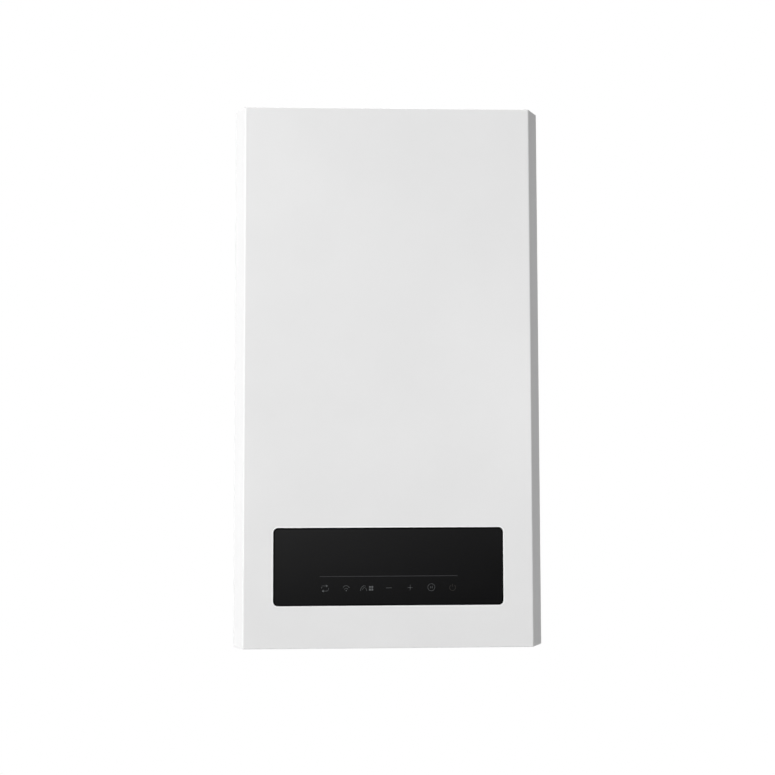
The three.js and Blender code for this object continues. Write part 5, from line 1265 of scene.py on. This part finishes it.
DIGITS = {
    "0": [[(0, 0), (0, 2), (1, 2), (1, 0), (0, 0)]],
    "1": [[(0.2, 1.6), (0.6, 2), (0.6, 0)]],
    "2": [[(0, 2), (1, 2), (1, 1), (0, 1), (0, 0), (1, 0)]],
    "3": [[(0, 2), (1, 2), (1, 0), (0, 0)], [(0.2, 1), (1, 1)]],
    "4": [[(0, 2), (0, 0.9), (1, 0.9)], [(0.8, 1.5), (0.8, 0)]],
}


def make_gauge():
    gx, gy = -97, -150
    body = Shape().turned((gx, gy, 0), UP, [
        (0, -1), (18, -1), (18, -4.2), (18.6, -5), (21.4, -5), (22.5, -4), (22.5, 1.5), (22.1, 1.9),
        (20, 1.9), (20, 21.4), (19, 22.2), (6, 23), (6, 33), (5.2, 34), (0, 34)], 72)
    body.done("gauge_case", "black_plastic", "gauge_body")

    def at(radius, angle):
        """Seen from below the angle runs clockwise, and 0 points to the front's right."""
        a = math.radians(angle)
        return Vector((gx + radius * math.cos(a), gy + radius * math.sin(a), 0))

    face = Shape().turned((gx, gy, -1.02), DOWN, [
        (1.5, 0), (17.9, 0), (17.9, 0.16), (1.5, 0.16)], 64)
    face.done("gauge_dial", "dial_white")
    film = (-1.24, -1.16)
    marks = Shape()
    for i in range(41):
        angle = 135 + 270 * i / 40
        long = i % 10 == 0
        inner, outer, half = (12.6 if long else 14.2, 16.2, 0.3 if long else 0.14)
        near, far = at(inner, angle), at(outer, angle)
        side = Vector((near.y - far.y, far.x - near.x, 0)).normalized() * half
        bar = (near - side, near + side, far + side, far - side)
        marks.prism("z", [(p.x, p.y) for p in bar], *film)
    for n in range(5):
        centre = at(9.6, 135 + 270 * n / 4)
        for line in DIGITS[str(n)]:
            for (ax, ay), (bx, by) in zip(line, line[1:]):
                # the figures are read from below with the casing's front at the foot of the dial
                p = Vector((centre.x + (ax - 0.5) * 1.5, centre.y - (ay - 1) * 1.5, 0))
                q = Vector((centre.x + (bx - 0.5) * 1.5, centre.y - (by - 1) * 1.5, 0))
                along = (q - p).normalized() * 0.17
                side = Vector((-along.y, along.x, 0))
                bar = (p - along - side, q + along - side, q + along + side, p - along + side)
                marks.prism("z", [(v.x, v.y) for v in bar], *film)
    marks.done("gauge_marks", "dial_black", weighted=False)
    bands = (("working", 202.5, 270, "dial_green"), ("high", 337.5, 405, "dial_red"))
    for name, first, last, ink in bands:
        band = Shape()
        outer, inner = (arc(gx, gy, radius, first, last, 16) for radius in (17.3, 16.5))
        band.prism("z", outer + inner[::-1], *film)
        band.done(f"gauge_band_{name}", ink, weighted=False)
    lens = Shape().turned((gx, gy, -4), DOWN, [
        (0, 0), (17.9, 0), (17.9, 0.5), (14, 0.75), (8, 0.88), (0, 0.9)], 64)
    lens.done("gauge_lens", "sight_glass").visible_shadow = False


# ---- control box ---------------------------------------------------------------------------


def make_boards():
    board = Shape().box((-138, -293.8, 60.5), (138, -292.2, 146.5), 0.15, 1)
    board.done("touch_board", "dark_board", "display_board", "control_box")
    parts = Shape()
    for x in map(icon_x, range(-3, 4)):
        parts.turned((x, -293.8, ICON_Z), FRONT, [
            (0, -0.1), (3.2, -0.1), (3.2, 0.9), (2.4, 1.1), (0, 1.1)], 24, 3)
    for x in range(-96, 97, 24):
        parts.box((x - 1.6, -294.8, 92), (x + 1.6, -293.7, 93.8), 0.2, 1, 1)
    parts.prism("y", rounded_rect(0, 118, 86, 34, 2), -293.7, -295.6, 0.4, 1, 0)
    parts.box((-130, -292.4, 120), (-110, -283, 132), 0.6, 2, 1)
    for x in (-100, -70, 60, 96):
        parts.box((x - 5, -292.4, 96), (x + 5, -290.6, 106), 0.3, 1)
    corners = [(x, -293.7, z) for x in (-132, 132) for z in (66, 141)]
    parts.screws(corners, FRONT, 2.6, 1.6, 2)
    parts.done("touch_board_parts", ["black_plastic", "white_plastic", "bright_steel", "brass"],
               body="control_box", weighted=False)

    board = Shape().box((-150, -241.6, 40), (150, -240, 168), 0.15, 1)
    board.done("control_board", "circuit_board", "main_board", "control_box")
    parts = Shape()
    y = -241.5
    cans = (
        (-120, 70, 9, 30), (-96, 70, 6, 18), (-120, 96, 6, 18), (70, 60, 5, 14), (84, 60, 5, 14),
        (120, 140, 8, 22))
    for x, z, r, h in cans:
        parts.turned((x, y, z), FRONT, [
            (0, 0), (r, 0), (r, 1), (0.94 * r, 1.6), (r, 2.2), (r, h - 0.8), (0.93 * r, h),
            (0.8 * r, h), (0.78 * r, h - 0.5), (0, h - 0.5)], 32)
    parts.box((-100, y - 26, 118), (-48, y, 160), 1.6, 2, 3)
    for x in (-20, 6, 32, 58):
        parts.box((x, y - 16, 132), (x + 20, y, 158), 0.8, 2, 1)
    parts.box((-40, y - 3, 80), (-12, y, 108), 0.3, 1)
    parts.box((14, y - 2.4, 86), (34, y, 98), 0.3, 1)
    parts.turned((-66, y, 86), FRONT, [
        (0, 0), (10, 0), (10, 12), (8.5, 13), (5, 13), (4.4, 12), (0, 12)], 36, 4)
    for i in range(7):
        x = -132 + 40 * i
        parts.box((x, y - 11, 43), (x + 26, y, 54), 0.6, 2)
        for k in range(4):
            left = x + 3.5 + 6 * k
            parts.box((left, y - 11.4, 46), (left + 3, y - 10.6, 51), 0.2, 1)
    for i in range(18):
        x = -36 + 9 * (i % 9)
        z = 66 + 8 * (i // 9)
        parts.box((x, y - 1.2, z), (x + 3.2, y, z + 1.8), 0.2, 1, 5 if i % 3 else 0)
    corners = [(x, y, z) for x in (-144, 144) for z in (46, 162)]
    parts.screws(corners, FRONT, 2.8, 1.8, 5)
    parts.done("control_board_parts", [
        "black_plastic", "blue_plastic", "white_plastic", "yellow_plastic", "copper",
        "bright_steel"], body="control_box", weighted=False)


def make_control_details():
    lid = Shape()
    # the nine vent slots are flat near-black pads, painted shade of slots that aren't cut
    for i in range(9):
        x = -64 + 16 * i
        lid.prism("y", rounded_rect(x, 150, 5, 22, 2.4, 5), -223.5, -222.6, 0.25, 1, 1)
    places = [(x, -223.3, z) for x in (-156, 156) for z in (42, 166)]
    lid.screws([*places, (0, -223.3, 40)], BACK)
    lid.done("control_lid_fixings", ["bright_steel", "painted_slot_shade"], body="control_box")
    ribs = Shape()
    for left, right in ((-168.6, -167), (167, 168.6)):
        for y in (-284, -272, -260, -248):
            ribs.box((left, y - 1.2, 60), (right, y + 1.2, 150), 0.3, 1)
    ribs.done("control_housing_ribs", NODE_SLOT["control_housing"], body="control_box")


# ---- lamps, floor and background -----------------------------------------------------------

WHITE_LIGHT = (1, 1, 1, 1)
AMBIENT = 0.13
MIDDLE = Vector((0, -0.2, -0.31))
# place, width and the display level that the lamp alone gives a white face turned to it
LAMPS = {
    "key": ((-2.2, -3.5, 1.1), 2.0, 0.52),
    "left_side": ((-4.0, -0.7, 0.2), 2.6, 0.2),
    "left_low": ((-3.0, -1.2, -0.9), 1.6, 0.14),
    "right_front": ((0.6, -1.7, -0.3), 0.6, 0.13),
    "right_rear": ((2.0, 4.2, 1.0), 2.0, 0.34),
    "overhead": ((0.0, 0.1, 3.2), 0.9, 0.35),
}
FLOOR, FLOOR_RADIUS = -1.9, 1.75
FLOOR_EDGE_REACH = math.hypot(FLOOR, FLOOR_RADIUS)  # from the row's origin


def add_lamp(name, place, size, level):
    place = Vector(place)
    reach = (MIDDLE - place).length
    data = bpy.data.lights.new(name, "AREA")
    data.shape, data.size = "DISK", size
    data.energy = 4 * math.pi * level * reach ** 2
    lamp = bpy.data.objects.new(name, data)
    lamp.rotation_mode = "QUATERNION"
    lamp.rotation_quaternion = (place - MIDDLE).to_track_quat("Z", "Y")
    lamp.location = place
    bpy.context.scene.collection.objects.link(lamp)


def straight_rays(tree):
    """1 where the camera, a mirror or a clear pane looks, 0 for the light that falls on things."""
    path = tree.nodes.new("ShaderNodeLightPath")
    seen = path.outputs["Is Camera Ray"]
    for other in ("Is Glossy Ray", "Is Transmission Ray"):
        most = tree.nodes.new("ShaderNodeMath")
        most.operation = "MAXIMUM"
        tree.links.new(seen, most.inputs[0])
        tree.links.new(path.outputs[other], most.inputs[1])
        seen = most.outputs[0]
    return seen


def make_background():
    world = bpy.data.worlds.new("studio")
    bpy.context.scene.world = world
    world.use_nodes = True
    tree = world.node_tree
    ground = tree.nodes["Background"]
    ground.inputs["Color"].default_value = WHITE_LIGHT
    level = tree.nodes.new("ShaderNodeMapRange")
    level.inputs["To Min"].default_value = AMBIENT
    level.inputs["To Max"].default_value = 1.0
    tree.links.new(straight_rays(tree), level.inputs["Value"])
    tree.links.new(level.outputs[0], ground.inputs["Strength"])


def plate(name, corners, material):
    """A flat plate of the studio, which isn't part of the boiler."""
    mesh = bpy.data.meshes.new(name)
    mesh.from_pydata(corners, [], [tuple(range(len(corners)))])
    mesh.materials.append(material)
    obj = bpy.data.objects.new(name, mesh)
    bpy.context.scene.collection.objects.link(obj)
    return obj


def make_floor():
    """A round pale floor, lifted to white where nothing shades it and wholly at its rim."""
    n = Nodes("studio_floor")
    reach = n.add("ShaderNodeVectorMath", {"operation": "LENGTH"})
    n.feed(reach.inputs[0], n.place)
    lift = n.ranged(reach.outputs["Value"], 2.1, FLOOR_EDGE_REACH, 0.16, 0.5)
    n.set(Base_Color=n.mixed(n.noise(3, 2), srgb(236, 236, 236), srgb(240, 240, 240)),
          Roughness=0.9)
    n.set(Specular_IOR_Level=0.1, Emission_Color=WHITE_LIGHT)
    n.set(Emission_Strength=n.ranged(straight_rays(n.tree), 0, 1, 0, lift))
    plate("studio_floor", [(x, y, FLOOR) for x, y in circle(0, -0.1, FLOOR_RADIUS, 96)], n.material)


def make_flag():
    """The dark card beside the camera that the glass mirrors: dimmer to the right and below."""
    n = Nodes("studio_flag")
    axes = n.add("ShaderNodeSeparateXYZ", Vector=n.place)
    across = n.ranged(axes.outputs[0], -0.36, 0.66, 0.37, 0.18)
    down = n.ranged(axes.outputs[2], -1.07, -0.73, 0.6, 1.18)
    level = n.add("ShaderNodeMath", {"operation": "MULTIPLY"})
    n.feed(level.inputs[0], across)
    n.feed(level.inputs[1], down)
    n.set(Base_Color=(0, 0, 0, 1), Roughness=1.0, Specular_IOR_Level=0.0,
          Emission_Color=WHITE_LIGHT)
    n.set(Emission_Strength=level.outputs[0])
    card = plate("studio_flag", [
        (-0.8, -4, -1.7), (1.1, -4, -1.7), (1.1, -4, -0.4), (-0.8, -4, -0.4)], n.material)
    card.visible_camera = card.visible_diffuse = card.visible_shadow = False


# ---- the scene -----------------------------------------------------------------------------

for node in frame["nodes"]:
    dress(node)

make_front_cover()
make_touch_glass()
make_casing_details()
make_flue()
make_fan()
make_exchanger()
make_chamber_front()
make_vessel()
make_tails()
make_gas_valve()
make_pipes()
make_pump()
make_flow_group()
make_gauge()
make_boards()
make_control_details()

for lamp in LAMPS:
    add_lamp(lamp, *LAMPS[lamp])
make_background()
make_floor()
make_flag()
make_camera()
bpy.context.scene.view_settings.view_transform = "Standard"
